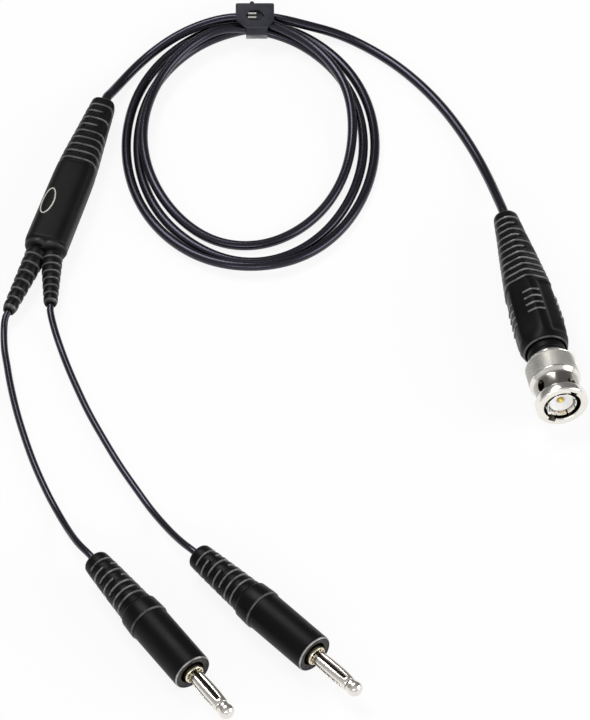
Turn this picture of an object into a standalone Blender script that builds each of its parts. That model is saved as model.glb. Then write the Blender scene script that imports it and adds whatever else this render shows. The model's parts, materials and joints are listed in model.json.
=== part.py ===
"""A coaxial test lead: a bayonet plug on one end, a Y splitter and two 4 mm banana plugs on the other.

It lies on a table. +Z is up, +X to the right, and the banana plugs point towards -Y. The coax is wound
three times and held by a strap. Lengths below are millimetres, and MM turns them into metres.
"""

import math

import bmesh
import bpy
from mathutils import Matrix, Vector

MM = 0.001

# Where the ends lie: the middle of each rear face, its height, its heading and its nose-up tilt
FRAME_SHIFT = (0.131, 19.309)
BNC_PLACE = {"at": (56.15, 45.68, 5.1), "heading": -77.94, "tilt": 2.0}
SPLITTER_PLACE = {"at": (-51.4, 86.0, 4.6), "heading": -106.7, "tilt": 0.0}
BANANA_PLACES = {
    "left": {"at": (-52.4, -73.55, 5.85), "heading": -55.3, "tilt": -0.56},
    "right": {"at": (-25.4, -71.4, 5.6), "heading": -47.6, "tilt": 0.0},
}

GAP = 0.3  # what touching pieces keep between them

# Coax and single leads
COAX_R = 1.3
WIRE_R = 0.95
CORE_R = 0.75

# Bayonet plug, measured along its axis from the rear end of its boot
BOOT_LENGTH = 49.8
BOOT_WIDTHS = (  # (distance, half the width)
    (0.0, 2.9), (0.7, 3.3), (8.0, 4.1), (15.3, 4.95), (22.8, 5.75), (30.2, 6.45), (37.7, 6.75),
    (44.0, 6.93), (46.5, 6.8), (48.2, 6.45), (BOOT_LENGTH, 6.0),
)
BOOT_RIBS = 11
BOOT_FIRST_RIB = 1.6
BOOT_WEBBED = 6  # of the first so many grooves, each odd one is filled on one side
BOOT_PANEL_DEPTH = 0.3
BOOT_MOUTH_R = 5.0
BOOT_RIB_PITCH = 2.4
BOOT_RIB_DEPTH = 0.75
BOOT_SIDES = 20
NUT_REAR = 54.3
NUT_FRONT = 69.7
NUT_FLANGE_R = 7.05
NUT_KNURL_R = 7.0
NUT_WAIST_R = 6.25
NUT_BORE_R = 4.95
NUT_SIDES = 24
LOCK_HOLE_R = 1.2
LOCK_HOLES = ((-52, 5.3), (34, 3.7), (128, 5.3), (214, 3.7))  # (turn from the top, distance behind the front)
LUG_NOTCH_TURN = 33
LUG_NOTCH_LOW = (67.0, -1.1, 4.0)
LUG_NOTCH_HIGH = (70.5, 1.1, 5.7)
BODY_R = 4.0
SHOULDER_R = 5.25
SHOULDER_AT = 59.0
CONTACT_R = 4.1
CONTACT_WALL = 0.45
CONTACT_FRONT = 69.2
PTFE_R = 3.3
PTFE_FRONT = 68.1
PTFE_DISH = 67.2  # how far forward its face is at the pin
PIN_R = 0.68
PIN_FRONT = 68.0

# Splitter, measured from its cable end
SPLITTER_LENGTH = 54.7
SPLITTER_HALF_HEIGHT = 4.6
SPLITTER_WIDTHS = (  # (distance, half the width)
    (0.0, 2.8), (0.6, 3.2), (7.9, 3.9), (13.4, 4.4), (18.9, 4.95), (24.4, 5.4),
    (29.9, 5.6), (41.0, 5.75), (51.0, 5.85), (53.8, 5.7), (SPLITTER_LENGTH, 5.2),
)
SPLITTER_HEIGHTS = (  # (distance, half the height)
    (0.0, 2.7), (0.6, 3.1), (13.4, 4.0), (24.4, 4.5), (30.0, SPLITTER_HALF_HEIGHT),
    (53.0, SPLITTER_HALF_HEIGHT), (SPLITTER_LENGTH, 4.1),
)
SPLITTER_RIBS = 9
SPLITTER_FIRST_RIB = 1.4
SPLITTER_WEBBED = 5
SPLITTER_RIB_PITCH = 2.6
SPLITTER_RIB_DEPTH = 0.7
LEG_ROOT_R = 3.35
LEG_TIP_R = 1.8
LEG_RIBS = 7
LEG_FIRST_RIB = 4.5
LEG_RIB_DEPTH = 0.6
LEGS = {
    "left": {"root": (51.0, -1.3, 0.0), "tip": (76.0, -3.2, -1.5)},
    "right": {"root": (51.0, 1.3, 0.0), "tip": (70.6, 6.9, -1.4)},
}

# Banana plugs, measured from the rear end of the boot
PLUG_BOOT_LENGTH = 25.3
COLLAR_FROM = 20.0
COLLAR_R = 5.6
PLUG_BOOT_RADII = ((0.0, 3.1), (0.6, 3.5), (10.0, 4.25), (COLLAR_FROM, 4.85))
PLUG_RIBS = 7
PLUG_FIRST_RIB = 1.7
PLUG_WEBBED = 5
PLUG_RIB_PITCH = 2.4
PLUG_RIB_DEPTH = 0.65
BARREL_R = 5.4
BARREL_FRONT = 45.4
RECESS_R = 3.4
INSERT_R = 3.9
SHOULDER_PIN_R = 2.6
ROD_R = 1.15
LANTERN_FROM = 46.7
LANTERN_TO = 58.7
LANTERN_WALL = 0.35
LANTERN_SHAPE = (  # (distance, radius)
    (LANTERN_FROM, 1.85), (47.9, 1.98), (50.3, 2.2), (52.9, 2.3), (55.5, 2.22), (57.5, 2.05),
    (LANTERN_TO, 1.85),
)
LANTERN_TURN = -7.5
NOSE_NECK_R = 1.68
NOSE_R = 2.06
TIP_AT = 62.7

# Coil: the centre line of its outermost turn is an ellipse, and each turn is set in from it
COIL_CENTRE = (-11.9, 74.0)
COIL_HALF_WIDTH = 33.75
COIL_HALF_DEPTH = 44.2
COIL_TURNS = 3
COIL_STEP = 15
COIL_OVERRUN = 22
BUNDLE_INSET = 2.75
BUNDLE_HEIGHT = 4.35
BUNDLE_R = 2.26
TWIST_HALF = 15

# Strap round the bundle of turns
STRAP_INNER_R = 3.85
STRAP_WALL = 0.47
STRAP_WIDTH = 5.8
STRAP_SHIFT = 0.2
TAB_THICKNESS = 1.2
TAB_LEAN = 20
TAB_OUTLINE = ((-5.2, 3.75), (5.2, 3.75), (5.2, -1.1), (3.5, -3.2), (-2.4, -3.2), (-5.2, -1.1))


# ---------------------------------------------------------------- tools


def clear_scene():
    for old in list(bpy.data.objects):
        bpy.data.objects.remove(old, do_unlink=True)


def material(name, colour, roughness, metallic=0.0):
    made = bpy.data.materials.get(name)
    if made:
        return made
    made = bpy.data.materials.new(name)
    made.use_nodes = True
    shader = made.node_tree.nodes["Principled BSDF"]
    shader.inputs["Base Color"].default_value = (*colour, 1.0)
    shader.inputs["Roughness"].default_value = roughness
    shader.inputs["Metallic"].default_value = metallic
    return made


def finish(name, bm, paint, parent=None, sharp=40):
    """Makes an object of the bmesh, whose points are in millimetres, and hangs it on its parent empty."""
    bmesh.ops.remove_doubles(bm, verts=bm.verts, dist=1e-5)
    bmesh.ops.recalc_face_normals(bm, faces=bm.faces)
    bmesh.ops.scale(bm, vec=(MM, MM, MM), verts=bm.verts)
    mesh = bpy.data.meshes.new(name)
    bm.to_mesh(mesh)
    bm.free()
    mesh.shade_smooth()
    mesh.set_sharp_from_angle(angle=math.radians(sharp))
    mesh.materials.append(paint)
    made = bpy.data.objects.new(name, mesh)
    bpy.context.scene.collection.objects.link(made)
    made.parent = parent
    return made


def turned(name, profile, sides, paint, parent=None):
    """Turns a profile of (distance along the axis, radius) round the X axis.

    A profile that starts and ends on the axis is left open there, and any other is closed.
    """
    bm = bmesh.new()
    points = [bm.verts.new((along, 0.0, radius)) for along, radius in profile]
    edges = [bm.edges.new(pair) for pair in zip(points, points[1:])]
    if profile[0][1] > 0 or profile[-1][1] > 0:
        edges.append(bm.edges.new((points[-1], points[0])))
    bmesh.ops.spin(
        bm, geom=points + edges, cent=(0, 0, 0), axis=(1, 0, 0), dvec=(0, 0, 0),
        angle=math.tau, steps=sides, use_merge=True,
    )
    return finish(name, bm, paint, parent)


def lofted(name, rings, paint, parent=None, hollow=False, sharp=40):
    """Skins rings of points. A hollow one joins its last ring to its first, and any other is capped."""
    bm = bmesh.new()
    rows = [[bm.verts.new(point) for point in ring] for ring in rings]
    pairs = list(zip(rows, rows[1:]))
    if hollow:
        pairs.append((rows[-1], rows[0]))
    count = len(rows[0])
    for near, far in pairs:
        for i in range(count):
            j = (i + 1) % count
            bm.faces.new((near[i], near[j], far[j], far[i]))
    if not hollow:
        bm.faces.new(list(reversed(rows[0])))
        bm.faces.new(rows[-1])
    return finish(name, bm, paint, parent, sharp)


def box_cutter(name, low, high, parent):
    bm = bmesh.new()
    bmesh.ops.create_cube(bm, size=1.0)
    for point in bm.verts:
        for axis in range(3):
            point.co[axis] = high[axis] if point.co[axis] > 0 else low[axis]
    return as_helper(finish(name, bm, PLASTIC, parent))


def rod_between(name, start, end, radius, sides, paint, parent=None):
    """A straight capped cylinder between two points."""
    start, end = Vector(start), Vector(end)
    bm = bmesh.new()
    bmesh.ops.create_cone(
        bm, cap_ends=True, segments=sides, radius1=radius, radius2=radius, depth=(end - start).length,
    )
    turn = (end - start).to_track_quat("Z", "Y").to_matrix().to_4x4()
    bmesh.ops.transform(bm, matrix=Matrix.Translation((start + end) / 2) @ turn, verts=bm.verts)
    return finish(name, bm, paint, parent)


def as_helper(made):
    made.hide_render = True
    made.display_type = "WIRE"
    return made


def boolean(target, other, operation):
    step = target.modifiers.new(other.name, "BOOLEAN")
    step.operation = operation
    step.object = other
    return target


def frame_of(name, place):
    """An empty on a plug's axis. Its +X runs to the plug's front."""
    empty = bpy.data.objects.new(name, None)
    bpy.context.scene.collection.objects.link(empty)
    x, y, z = place["at"]
    empty.location = ((x + FRAME_SHIFT[0]) * MM, (y + FRAME_SHIFT[1]) * MM, z * MM)
    empty.rotation_euler = (0.0, -math.radians(place["tilt"]), math.radians(place["heading"]))
    bpy.context.view_layer.update()
    return empty


def through(points, at):
    """A smooth curve through points of (parameter, value, ...), read at one parameter."""
    last = len(points) - 2
    i = max(j for j in range(last + 1) if points[j][0] <= at or j == 0)
    low, high = points[i], points[i + 1]
    before, after = points[max(i - 1, 0)], points[min(i + 2, last + 1)]
    run = high[0] - low[0]
    t = (at - low[0]) / run
    found = []
    for k in range(1, len(low)):
        rise_low = (high[k] - before[k]) / (high[0] - before[0]) * run
        rise_high = (after[k] - low[k]) / (after[0] - low[0]) * run
        found.append(
            (2 * t**3 - 3 * t**2 + 1) * low[k] + (t**3 - 2 * t**2 + t) * rise_low
            + (3 * t**2 - 2 * t**3) * high[k] + (t**3 - t**2) * rise_high
        )
    return found


def route_points(route, spacing):
    """Points about that far apart on a smooth curve through a route's own. Its two ends stay straight."""
    keys = [(0.0, *route[0])]
    for near, far in zip(route, route[1:]):
        keys.append((keys[-1][0] + math.dist(near, far), *far))
    first, last = keys[1][0], keys[-2][0]
    steps = round((last - first) / spacing)
    smooth = [through(keys, first + (last - first) * i / steps) for i in range(steps + 1)]
    return [route[0], *smooth, route[-1]]


def length_of(points):
    return sum(math.dist(near, far) for near, far in zip(points, points[1:]))


def tube(name, points, radius, resolution, paint):
    """A cord: one curve with a round section and filled ends, lying in the table's frame."""
    curve = bpy.data.curves.new(name, "CURVE")
    curve.dimensions = "3D"
    curve.bevel_depth = radius * MM
    curve.bevel_resolution = resolution
    curve.use_fill_caps = True
    curve.twist_mode = "MINIMUM"
    spline = curve.splines.new("POLY")
    spline.points.add(len(points) - 1)
    for slot, (x, y, z) in zip(spline.points, points):
        slot.co = ((x + FRAME_SHIFT[0]) * MM, (y + FRAME_SHIFT[1]) * MM, z * MM, 1.0)
    curve.materials.append(paint)
    made = bpy.data.objects.new(name, curve)
    bpy.context.scene.collection.objects.link(made)
    return made


def outline(sides, faces, softness):
    """Points of a rounded polygon. Each face is (direction in degrees from +Z towards +Y, distance)."""
    points = []
    for i in range(sides):
        angle = math.tau * i / sides
        total = 0.0
        for direction, distance in faces:
            reach = math.cos(angle - math.radians(direction)) / distance
            total += max(reach, 0.0) ** softness
        radius = total ** (-1.0 / softness)
        points.append((radius * math.sin(angle), radius * math.cos(angle)))
    return points


def circle(sides, radius):
    turns = [math.tau * i / sides for i in range(sides)]
    return [(radius * math.sin(turn), radius * math.cos(turn)) for turn in turns]


def ring(along, section):
    return [(along, y, z) for y, z in section]


def ribbed(first, count, pitch, depth, land=0.6):
    """Stations of a ribbed stretch: (distance, how far it is set in, index of the groove or None)."""
    stations = []
    for i in range(count):
        start = first + i * pitch
        stations.append((start, 0.0, None))
        stations.append((start + land * pitch, 0.0, None))
        stations.append((start + (1 + land) / 2 * pitch, depth, i))
    return stations


# ---------------------------------------------------------------- materials

PLASTIC = material("boot_plastic", (0.012, 0.012, 0.014), 0.42)
CORD = material("cord_jacket", (0.016, 0.015, 0.02), 0.3)
RUBBER = material("strap_rubber", (0.035, 0.035, 0.045), 0.6)
NICKEL = material("nickel", (0.72, 0.7, 0.66), 0.22, 1.0)
SPRING = material("spring_nickel", (0.78, 0.76, 0.72), 0.18, 1.0)
GOLD = material("gold", (0.83, 0.62, 0.2), 0.25, 1.0)
PTFE = material("ptfe", (0.85, 0.85, 0.83), 0.5)
COPPER = material("tinned_copper", (0.6, 0.56, 0.5), 0.35, 1.0)
SEAL = material("seal_rubber", (0.3, 0.06, 0.04), 0.6)
INNER = material("inner_plastic", (0.05, 0.05, 0.055), 0.5)


# ---------------------------------------------------------------- bayonet plug


def boot_half_width(along):
    """Half the boot's width at a distance from its rear end."""
    return through(BOOT_WIDTHS, along)[0]


def boot_section(along, set_in=0.0):
    """A rounded section with a low ridge on top, rounder towards the cable."""
    half = boot_half_width(along) - set_in
    under = half * 0.94
    softness = 5 + 7 * min(along / 30.0, 1.0)
    faces = [
        (29, half * 0.92), (-29, half * 0.92), (90, half), (-90, half),
        (151, under * 0.98), (-151, under * 0.98), (180, under),
    ]
    return outline(BOOT_SIDES, faces, softness)


def boot_panel(section, depth):
    """Sets in the two flanks, which leaves a spine along the top and another underneath."""
    sunk = []
    for i, (y, z) in enumerate(section):
        angle = min(i, BOOT_SIDES - i) * 360 / BOOT_SIDES
        keep = 1 - depth / math.hypot(y, z) if 30 < angle < 130 else 1
        sunk.append((y * keep, z * keep))
    return sunk


def make_bnc_boot(frame):
    rings = [ring(along, boot_section(along)) for along in (0.0, 0.7)]
    for along, depth, groove in ribbed(BOOT_FIRST_RIB, BOOT_RIBS, BOOT_RIB_PITCH, BOOT_RIB_DEPTH):
        section = boot_section(along, depth)
        if groove is not None and groove < BOOT_WEBBED and groove % 2:
            whole = boot_section(along)
            web_from = 0.4 * boot_half_width(along)
            section = [w if w[0] > web_from else s for w, s in zip(whole, section)]
        rings.append(ring(along, section))
    sunk = BOOT_PANEL_DEPTH
    stations = (
        (28.0, 0), (29.8, 0), (30.6, sunk), (38.0, sunk), (44.0, sunk), (46.7, sunk), (47.5, 0), (48.6, 0),
    )
    for along, depth in stations:
        rings.append(ring(along, boot_panel(boot_section(along), depth)))
    rings.append(ring(BOOT_LENGTH, boot_section(BOOT_LENGTH)))
    stem_bore = BODY_R + 0.4
    cable_bore = COAX_R + 0.35
    bore = [
        (BOOT_LENGTH, BOOT_MOUTH_R), (47.3, BOOT_MOUTH_R), (47.3, stem_bore), (38.0, stem_bore),
        (38.0, 3.2), (22.0, 3.2), (22.0, cable_bore), (0.0, cable_bore),
    ]
    rings += [ring(along, circle(BOOT_SIDES, radius)) for along, radius in bore]
    return lofted("bnc_boot", rings, PLASTIC, frame, hollow=True)


def make_bnc_body(frame):
    """The turned body: crimp stem, barrel in the boot, clip groove, neck, shoulder and front spigot."""
    profile = [
        (26.0, 1.1), (26.0, 1.9), (37.6, 1.9), (38.4, 3.2), (39.0, BODY_R), (53.2, BODY_R), (53.2, 3.4),
        (54.1, 3.4), (54.1, BODY_R), (SHOULDER_AT, BODY_R), (SHOULDER_AT, SHOULDER_R),
        (SHOULDER_AT + 1.0, SHOULDER_R), (SHOULDER_AT + 1.0, 3.3), (62.0, 3.3), (62.0, 2.5),
        (44.0, 2.5), (44.0, 1.1),
    ]
    turned("bnc_body", profile, 20, NICKEL, frame)
    turned("bnc_crimp_ferrule", [(24.3, 2.2), (24.3, 2.75), (37.2, 2.75), (37.2, 2.2)], 16, COPPER, frame)


def make_bnc_contacts(frame):
    bore = PIN_R + 0.32
    insulator = [
        (44.3, 1.3), (44.3, 2.2), (62.3, 2.2), (62.3, PTFE_R), (PTFE_FRONT, PTFE_R),
        (PTFE_FRONT, PTFE_R - 0.5), (PTFE_DISH, bore), (50.3, bore), (50.3, 1.3),
    ]
    turned("bnc_insulator", insulator, 20, PTFE, frame)
    pin = [
        (43.7, 0.0), (43.7, 0.95), (50.0, 0.95), (50.0, PIN_R), (PIN_FRONT - 0.6, PIN_R), (PIN_FRONT, 0.35),
        (PIN_FRONT, 0.0),
    ]
    turned("bnc_center_pin", pin, 12, GOLD, frame)
    contact_bore = CONTACT_R - CONTACT_WALL
    contact = [
        (60.3, contact_bore), (60.3, CONTACT_R), (CONTACT_FRONT - 0.5, CONTACT_R),
        (CONTACT_FRONT, CONTACT_R - 0.15), (CONTACT_FRONT, contact_bore),
    ]
    sleeve = turned("bnc_outer_contact", contact, 24, NICKEL, frame)
    for i, turn in enumerate((22.5, 112.5)):
        slot = box_cutter(f"contact_slot_{i}", (63.8, -0.3, -6.0), (70.5, 0.3, 6.0), frame)
        slot.data.transform(Matrix.Rotation(math.radians(turn), 4, "X"))
        boolean(sleeve, slot, "DIFFERENCE")
    turned("bnc_gasket", [(60.5, 4.35), (60.5, 4.7), (61.7, 4.7), (61.7, 4.35)], 20, SEAL, frame)


def make_bnc_nut(frame):
    """The coupling nut, which turns and slides, with its washers and the clip behind it."""
    flank = 0.3
    profile = [
        (NUT_REAR, BODY_R + 0.35), (NUT_REAR, 6.2), (NUT_REAR + 0.8, NUT_KNURL_R), (60.6, NUT_KNURL_R),
        (61.9, NUT_WAIST_R), (66.3, NUT_WAIST_R), (67.5, NUT_FLANGE_R), (NUT_FRONT - flank, NUT_FLANGE_R),
        (NUT_FRONT, NUT_FLANGE_R - flank), (NUT_FRONT, NUT_BORE_R), (60.3, NUT_BORE_R),
        (60.3, SHOULDER_R + 0.35), (56.4, SHOULDER_R + 0.35), (56.4, BODY_R + 0.35),
    ]
    nut = turned("bnc_coupling_nut", profile, NUT_SIDES, NICKEL, frame)
    for i, (turn, back) in enumerate(LOCK_HOLES):
        angle = math.radians(turn)
        out = Vector((0.0, math.sin(angle), math.cos(angle)))
        at = Vector((NUT_FRONT - back, 0.0, 0.0))
        hole = rod_between(f"lock_hole_{i}", at + 3 * out, at + 9 * out, LOCK_HOLE_R, 12, PLASTIC, frame)
        boolean(nut, as_helper(hole), "DIFFERENCE")
    for i in range(2):
        notch = box_cutter(f"lug_notch_{i}", LUG_NOTCH_LOW, LUG_NOTCH_HIGH, frame)
        notch.data.transform(Matrix.Rotation(-math.radians(LUG_NOTCH_TURN + 180 * i), 4, "X"))
        boolean(nut, notch, "DIFFERENCE")
    turned("bnc_thrust_washer", [(56.7, 4.35), (56.7, 5.3), (57.1, 5.3), (57.1, 4.35)], 20, NICKEL, frame)


def make_bnc_washers(frame):
    """The wave washer between the thrust washer and the shoulder, and the clip that holds the nut on."""
    sides = 24
    rings = []
    for i in range(sides):
        angle = math.tau * i / sides
        middle = 58.25 + 0.22 * math.cos(3 * angle)
        corners = ((middle - 0.1, 4.4), (middle + 0.1, 4.4), (middle + 0.1, 5.15), (middle - 0.1, 5.15))
        rings.append([(a, r * math.sin(angle), r * math.cos(angle)) for a, r in corners])
    lofted("bnc_wave_washer", rings, SPRING, frame, hollow=True)
    opening = math.radians(35)
    rings = []
    for i in range(sides - 2):
        angle = opening / 2 + (math.tau - opening) * i / (sides - 3)
        corners = ((53.45, 3.75), (53.9, 3.75), (53.9, 4.85), (53.45, 4.85))
        rings.append([(a, r * math.sin(angle), r * math.cos(angle)) for a, r in corners])
    lofted("bnc_retaining_clip", rings, SPRING, frame)


def make_bnc_cable_end(frame):
    rod_between("bnc_cable_jacket", (GAP, 0, 0), (25.6, 0, 0), COAX_R, 12, CORD, frame)
    rod_between("bnc_cable_core", (25.95, 0, 0), (43.35, 0, 0), CORE_R, 10, PTFE, frame)


def make_bnc_plug():
    frame = frame_of("bnc_axis", BNC_PLACE)
    make_bnc_boot(frame)
    make_bnc_body(frame)
    make_bnc_contacts(frame)
    make_bnc_nut(frame)
    make_bnc_washers(frame)
    make_bnc_cable_end(frame)


# ---------------------------------------------------------------- splitter


def splitter_section(along, set_in=0.0):
    """A flattened round section, flat underneath where it lies on the table."""
    wide = through(SPLITTER_WIDTHS, along)[0] - set_in
    high = min(through(SPLITTER_HEIGHTS, along)[0], SPLITTER_HALF_HEIGHT) - set_in
    corner = 0.62 * (wide + high)
    faces = [(0, high), (180, high), (90, wide), (-90, wide)]
    faces += [(turn, corner) for turn in (45, 135, -45, -135)]
    section = outline(20, faces, 9)
    return [(y, min(max(z, -high), high)) for y, z in section]


def leg_line(side):
    return Vector(LEGS[side]["root"]), Vector(LEGS[side]["tip"])


def make_leg(side, frame):
    """A tapering ribbed sleeve from inside the body to its tip."""
    root, tip = leg_line(side)
    length = (tip - root).length
    pitch = (length - LEG_FIRST_RIB) / LEG_RIBS
    profile = [(0.0, 0.0), (0.0, LEG_ROOT_R)]
    for along, depth, _ in ribbed(LEG_FIRST_RIB, LEG_RIBS, pitch, LEG_RIB_DEPTH, land=0.5)[:-1]:
        radius = LEG_ROOT_R + (LEG_TIP_R - LEG_ROOT_R) * along / length
        profile.append((along, radius - depth))
    profile += [(length, LEG_TIP_R - 0.2), (length, 0.0)]
    leg = turned(f"leg_{side}_form", profile, 12, PLASTIC, frame)
    turn = (tip - root).to_track_quat("X", "Z").to_matrix().to_4x4()
    leg.data.transform(Matrix.Translation(root * MM) @ turn)
    return as_helper(leg)


def make_splitter_body(frame):
    rings = [ring(along, splitter_section(along)) for along in (0.0, 0.6)]
    stations = ribbed(SPLITTER_FIRST_RIB, SPLITTER_RIBS, SPLITTER_RIB_PITCH, SPLITTER_RIB_DEPTH)
    for along, depth, groove in stations:
        section = splitter_section(along, depth)
        if groove is not None and groove < SPLITTER_WEBBED and groove % 2:
            whole = splitter_section(along)
            section = [w if w[0] > max(0.3 * w[1], 1.5) else s for w, s in zip(whole, section)]
        rings.append(ring(along, section))
    for along in (25.2, 30.0, 41.0, 51.0, 53.0, 54.1, SPLITTER_LENGTH):
        rings.append(ring(along, splitter_section(along)))
    body = lofted("splitter_overmould", rings, PLASTIC, frame)
    for side in LEGS:
        boolean(body, make_leg(side, frame), "UNION")
    boolean(body, box_cutter("splice_room", (28.0, -4.1, -2.6), (49.0, 4.1, 2.6), frame), "DIFFERENCE")
    bore = rod_between("coax_bore", (-1.0, 0, 0), (29.0, 0, 0), COAX_R + 0.35, 12, PLASTIC, frame)
    boolean(body, as_helper(bore), "DIFFERENCE")
    for side in LEGS:
        root, tip = leg_line(side)
        run = (tip - root).normalized()
        start = root - 3.5 * run
        hole = rod_between(f"lead_bore_{side}", start, tip + run, WIRE_R + 0.35, 12, PLASTIC, frame)
        boolean(body, as_helper(hole), "DIFFERENCE")


def make_splices(frame):
    """What the overmould holds: the coax end, a splice for its core, one for its screen, the leads' ends."""
    rod_between("splitter_cable_jacket", (GAP, 0, 0), (31.0, 0, 0), COAX_R, 12, CORD, frame)
    for side, y in (("left", -2.0), ("right", 2.0)):
        label = "core" if side == "left" else "screen"
        sleeve = [(33.0, 0.6), (33.0, 1.1), (41.0, 1.1), (41.0, 0.6)]
        splice = turned(f"splitter_{label}_splice", sleeve, 12, COPPER, frame)
        splice.data.transform(Matrix.Translation((0, y * MM, 0)))
        root, tip = leg_line(side)
        run = (tip - root).normalized()
        start = root - 1.5 * run
        rod_between(f"splitter_wire_{side}", start, tip - GAP * run, WIRE_R, 10, CORD, frame)
    bm = bmesh.new()
    bmesh.ops.create_cube(bm, size=1.0)
    bmesh.ops.scale(bm, vec=(15.5, 7.4, 0.8), verts=bm.verts)
    bmesh.ops.translate(bm, vec=(40.0, 0.0, -1.85), verts=bm.verts)
    finish("splitter_carrier", bm, INNER, frame)


def make_splitter():
    frame = frame_of("splitter_axis", SPLITTER_PLACE)
    make_splitter_body(frame)
    make_splices(frame)


# ---------------------------------------------------------------- banana plugs


def plug_boot_radius(along):
    return through(PLUG_BOOT_RADII, along)[0]


def make_plug_boot(side, frame):
    sides = 16
    rings = [ring(along, circle(sides, plug_boot_radius(along))) for along in (0.0, 0.6)]
    for along, depth, groove in ribbed(PLUG_FIRST_RIB, PLUG_RIBS, PLUG_RIB_PITCH, PLUG_RIB_DEPTH):
        section = circle(sides, plug_boot_radius(along) - depth)
        if groove is not None and groove < PLUG_WEBBED:
            whole = circle(sides, plug_boot_radius(along))
            web = 0 if groove % 2 else sides // 4
            held = {web % sides, (web + sides // 2) % sides}
            section = [whole[i] if i in held else section[i] for i in range(sides)]
        rings.append(ring(along, section))
    for along, radius in (
        (18.7, 4.8), (COLLAR_FROM, 4.85), (COLLAR_FROM + 0.5, COLLAR_R - 0.1), (24.7, COLLAR_R),
        (PLUG_BOOT_LENGTH, COLLAR_R - 0.25), (PLUG_BOOT_LENGTH, INSERT_R + 0.3), (19.0, INSERT_R + 0.3),
        (19.0, 2.1), (15.2, 2.1), (15.2, WIRE_R + 0.3), (0.0, WIRE_R + 0.3),
    ):
        rings.append(ring(along, circle(sides, radius)))
    lofted(f"banana_{side}_boot", rings, PLASTIC, frame, hollow=True)


def make_plug_shell(side, frame):
    inner = INSERT_R + 0.3
    profile = [
        (PLUG_BOOT_LENGTH + GAP, inner), (PLUG_BOOT_LENGTH + GAP, BARREL_R), (BARREL_FRONT - 0.35, BARREL_R),
        (BARREL_FRONT, BARREL_R - 0.35), (BARREL_FRONT, RECESS_R), (42.8, RECESS_R), (42.8, inner),
    ]
    turned(f"banana_{side}_barrel", profile, 24, PLASTIC, frame)
    insert = [
        (19.4, 2.1), (19.4, INSERT_R), (42.5, INSERT_R), (42.5, 2.85), (43.9, 2.85), (43.9, 1.95),
        (27.0, 1.95), (27.0, 2.1),
    ]
    turned(f"banana_{side}_insert", insert, 16, INNER, frame)


def make_plug_contact(side, frame):
    """The pin, its crimp with the wire's end, and the lantern spring that turns on the pin."""
    pin = [
        (26.0, 0.0), (26.0, 1.6), (44.2, 1.6), (44.2, SHOULDER_PIN_R), (46.1, SHOULDER_PIN_R),
        (46.4, SHOULDER_PIN_R - 0.3), (46.4, ROD_R), (59.0, ROD_R), (59.0, NOSE_NECK_R), (59.7, NOSE_NECK_R),
        (60.4, NOSE_R - 0.04), (61.1, NOSE_R), (61.9, 1.7), (62.4, 1.05), (TIP_AT, 0.0),
    ]
    turned(f"banana_{side}_pin", pin, 16, NICKEL, frame)
    crimp = [(15.7, 1.3), (15.7, 1.75), (25.6, 1.75), (25.6, 1.3)]
    turned(f"banana_{side}_crimp", crimp, 12, COPPER, frame)
    rod_between(f"banana_{side}_wire", (GAP, 0, 0), (23.5, 0, 0), WIRE_R, 10, CORD, frame)
    make_lantern(side, frame)


def make_lantern(side, frame):
    """A bulging sleeve with four slots, cut from one sheet."""
    sides = 24
    bm = bmesh.new()
    rows = [[bm.verts.new(p) for p in ring(along, circle(sides, radius))] for along, radius in LANTERN_SHAPE]
    for k, (near, far) in enumerate(zip(rows, rows[1:])):
        for i in range(sides):
            in_slot = 1 <= k <= len(LANTERN_SHAPE) - 3 and i % 6 in (0, 5)
            if not in_slot:
                bm.faces.new((near[i], near[(i + 1) % sides], far[(i + 1) % sides], far[i]))
    lantern = finish(f"banana_{side}_lantern", bm, SPRING, frame)
    lantern.data.transform(Matrix.Rotation(-math.radians(LANTERN_TURN), 4, "X"))
    wall = lantern.modifiers.new("wall", "SOLIDIFY")
    wall.thickness = LANTERN_WALL * MM
    wall.offset = -1.0
    wall.use_even_offset = True


def make_banana_plug(side):
    frame = frame_of(f"banana_{side}_axis", BANANA_PLACES[side])
    make_plug_boot(side, frame)
    make_plug_shell(side, frame)
    make_plug_contact(side, frame)


# ---------------------------------------------------------------- cords and strap

# Each turn as (angle from the strap, inset from the outermost turn's line, height of the cord's middle).
TURN_KEYS = (
    ((22, 3.4, 6.4), (30, 4.0, 5.85), (45, 4.4, 5.0), (60, 4.4, 4.45), (75, 5.3, 3.75), (90, 6.45, 2.1),
     (120, 8.1, 1.35), (150, 9.1, 1.35), (180, 8.8, 1.35), (210, 7.5, 1.5), (240, 5.8, 3.2), (270, 4.5, 4.3),
     (300, 4.5, 4.4), (315, 4.5, 4.95), (330, 4.1, 5.8), (338, 3.45, 6.35)),
    ((22, 4.8, 3.3), (30, 4.3, 2.4), (45, 3.65, 1.5), (60, 3.25, 1.35), (90, 3.2, 1.35), (120, 3.5, 1.35),
     (150, 3.1, 1.35), (180, 2.75, 1.35), (210, 3.5, 1.35), (240, 3.2, 1.35), (270, 3.15, 1.35),
     (300, 3.25, 1.35), (315, 3.65, 1.5), (330, 4.25, 2.4), (338, 4.8, 3.3)),
    ((22, 1.9, 1.95), (30, 1.2, 1.75), (45, 0.45, 1.4), (60, 0.1, 1.35), (90, 0.05, 1.35), (120, 0.4, 1.35),
     (150, 0.05, 2.2), (180, 0.0, 3.05), (210, 0.35, 1.9), (240, 0.05, 1.35), (270, 0.0, 1.35),
     (300, 0.05, 1.35), (315, 0.4, 1.4), (330, 1.1, 1.8), (338, 1.9, 1.95)),
)


def bundle_place(number, angle):
    """(inset, height) of one pass under the strap, where the four turn a quarter turn as one bundle."""
    t = (angle + TWIST_HALF) / (2 * TWIST_HALF)
    turn = math.radians(180 - 90 * (number + t))
    return BUNDLE_INSET + BUNDLE_R * math.cos(turn), BUNDLE_HEIGHT + BUNDLE_R * math.sin(turn)


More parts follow.
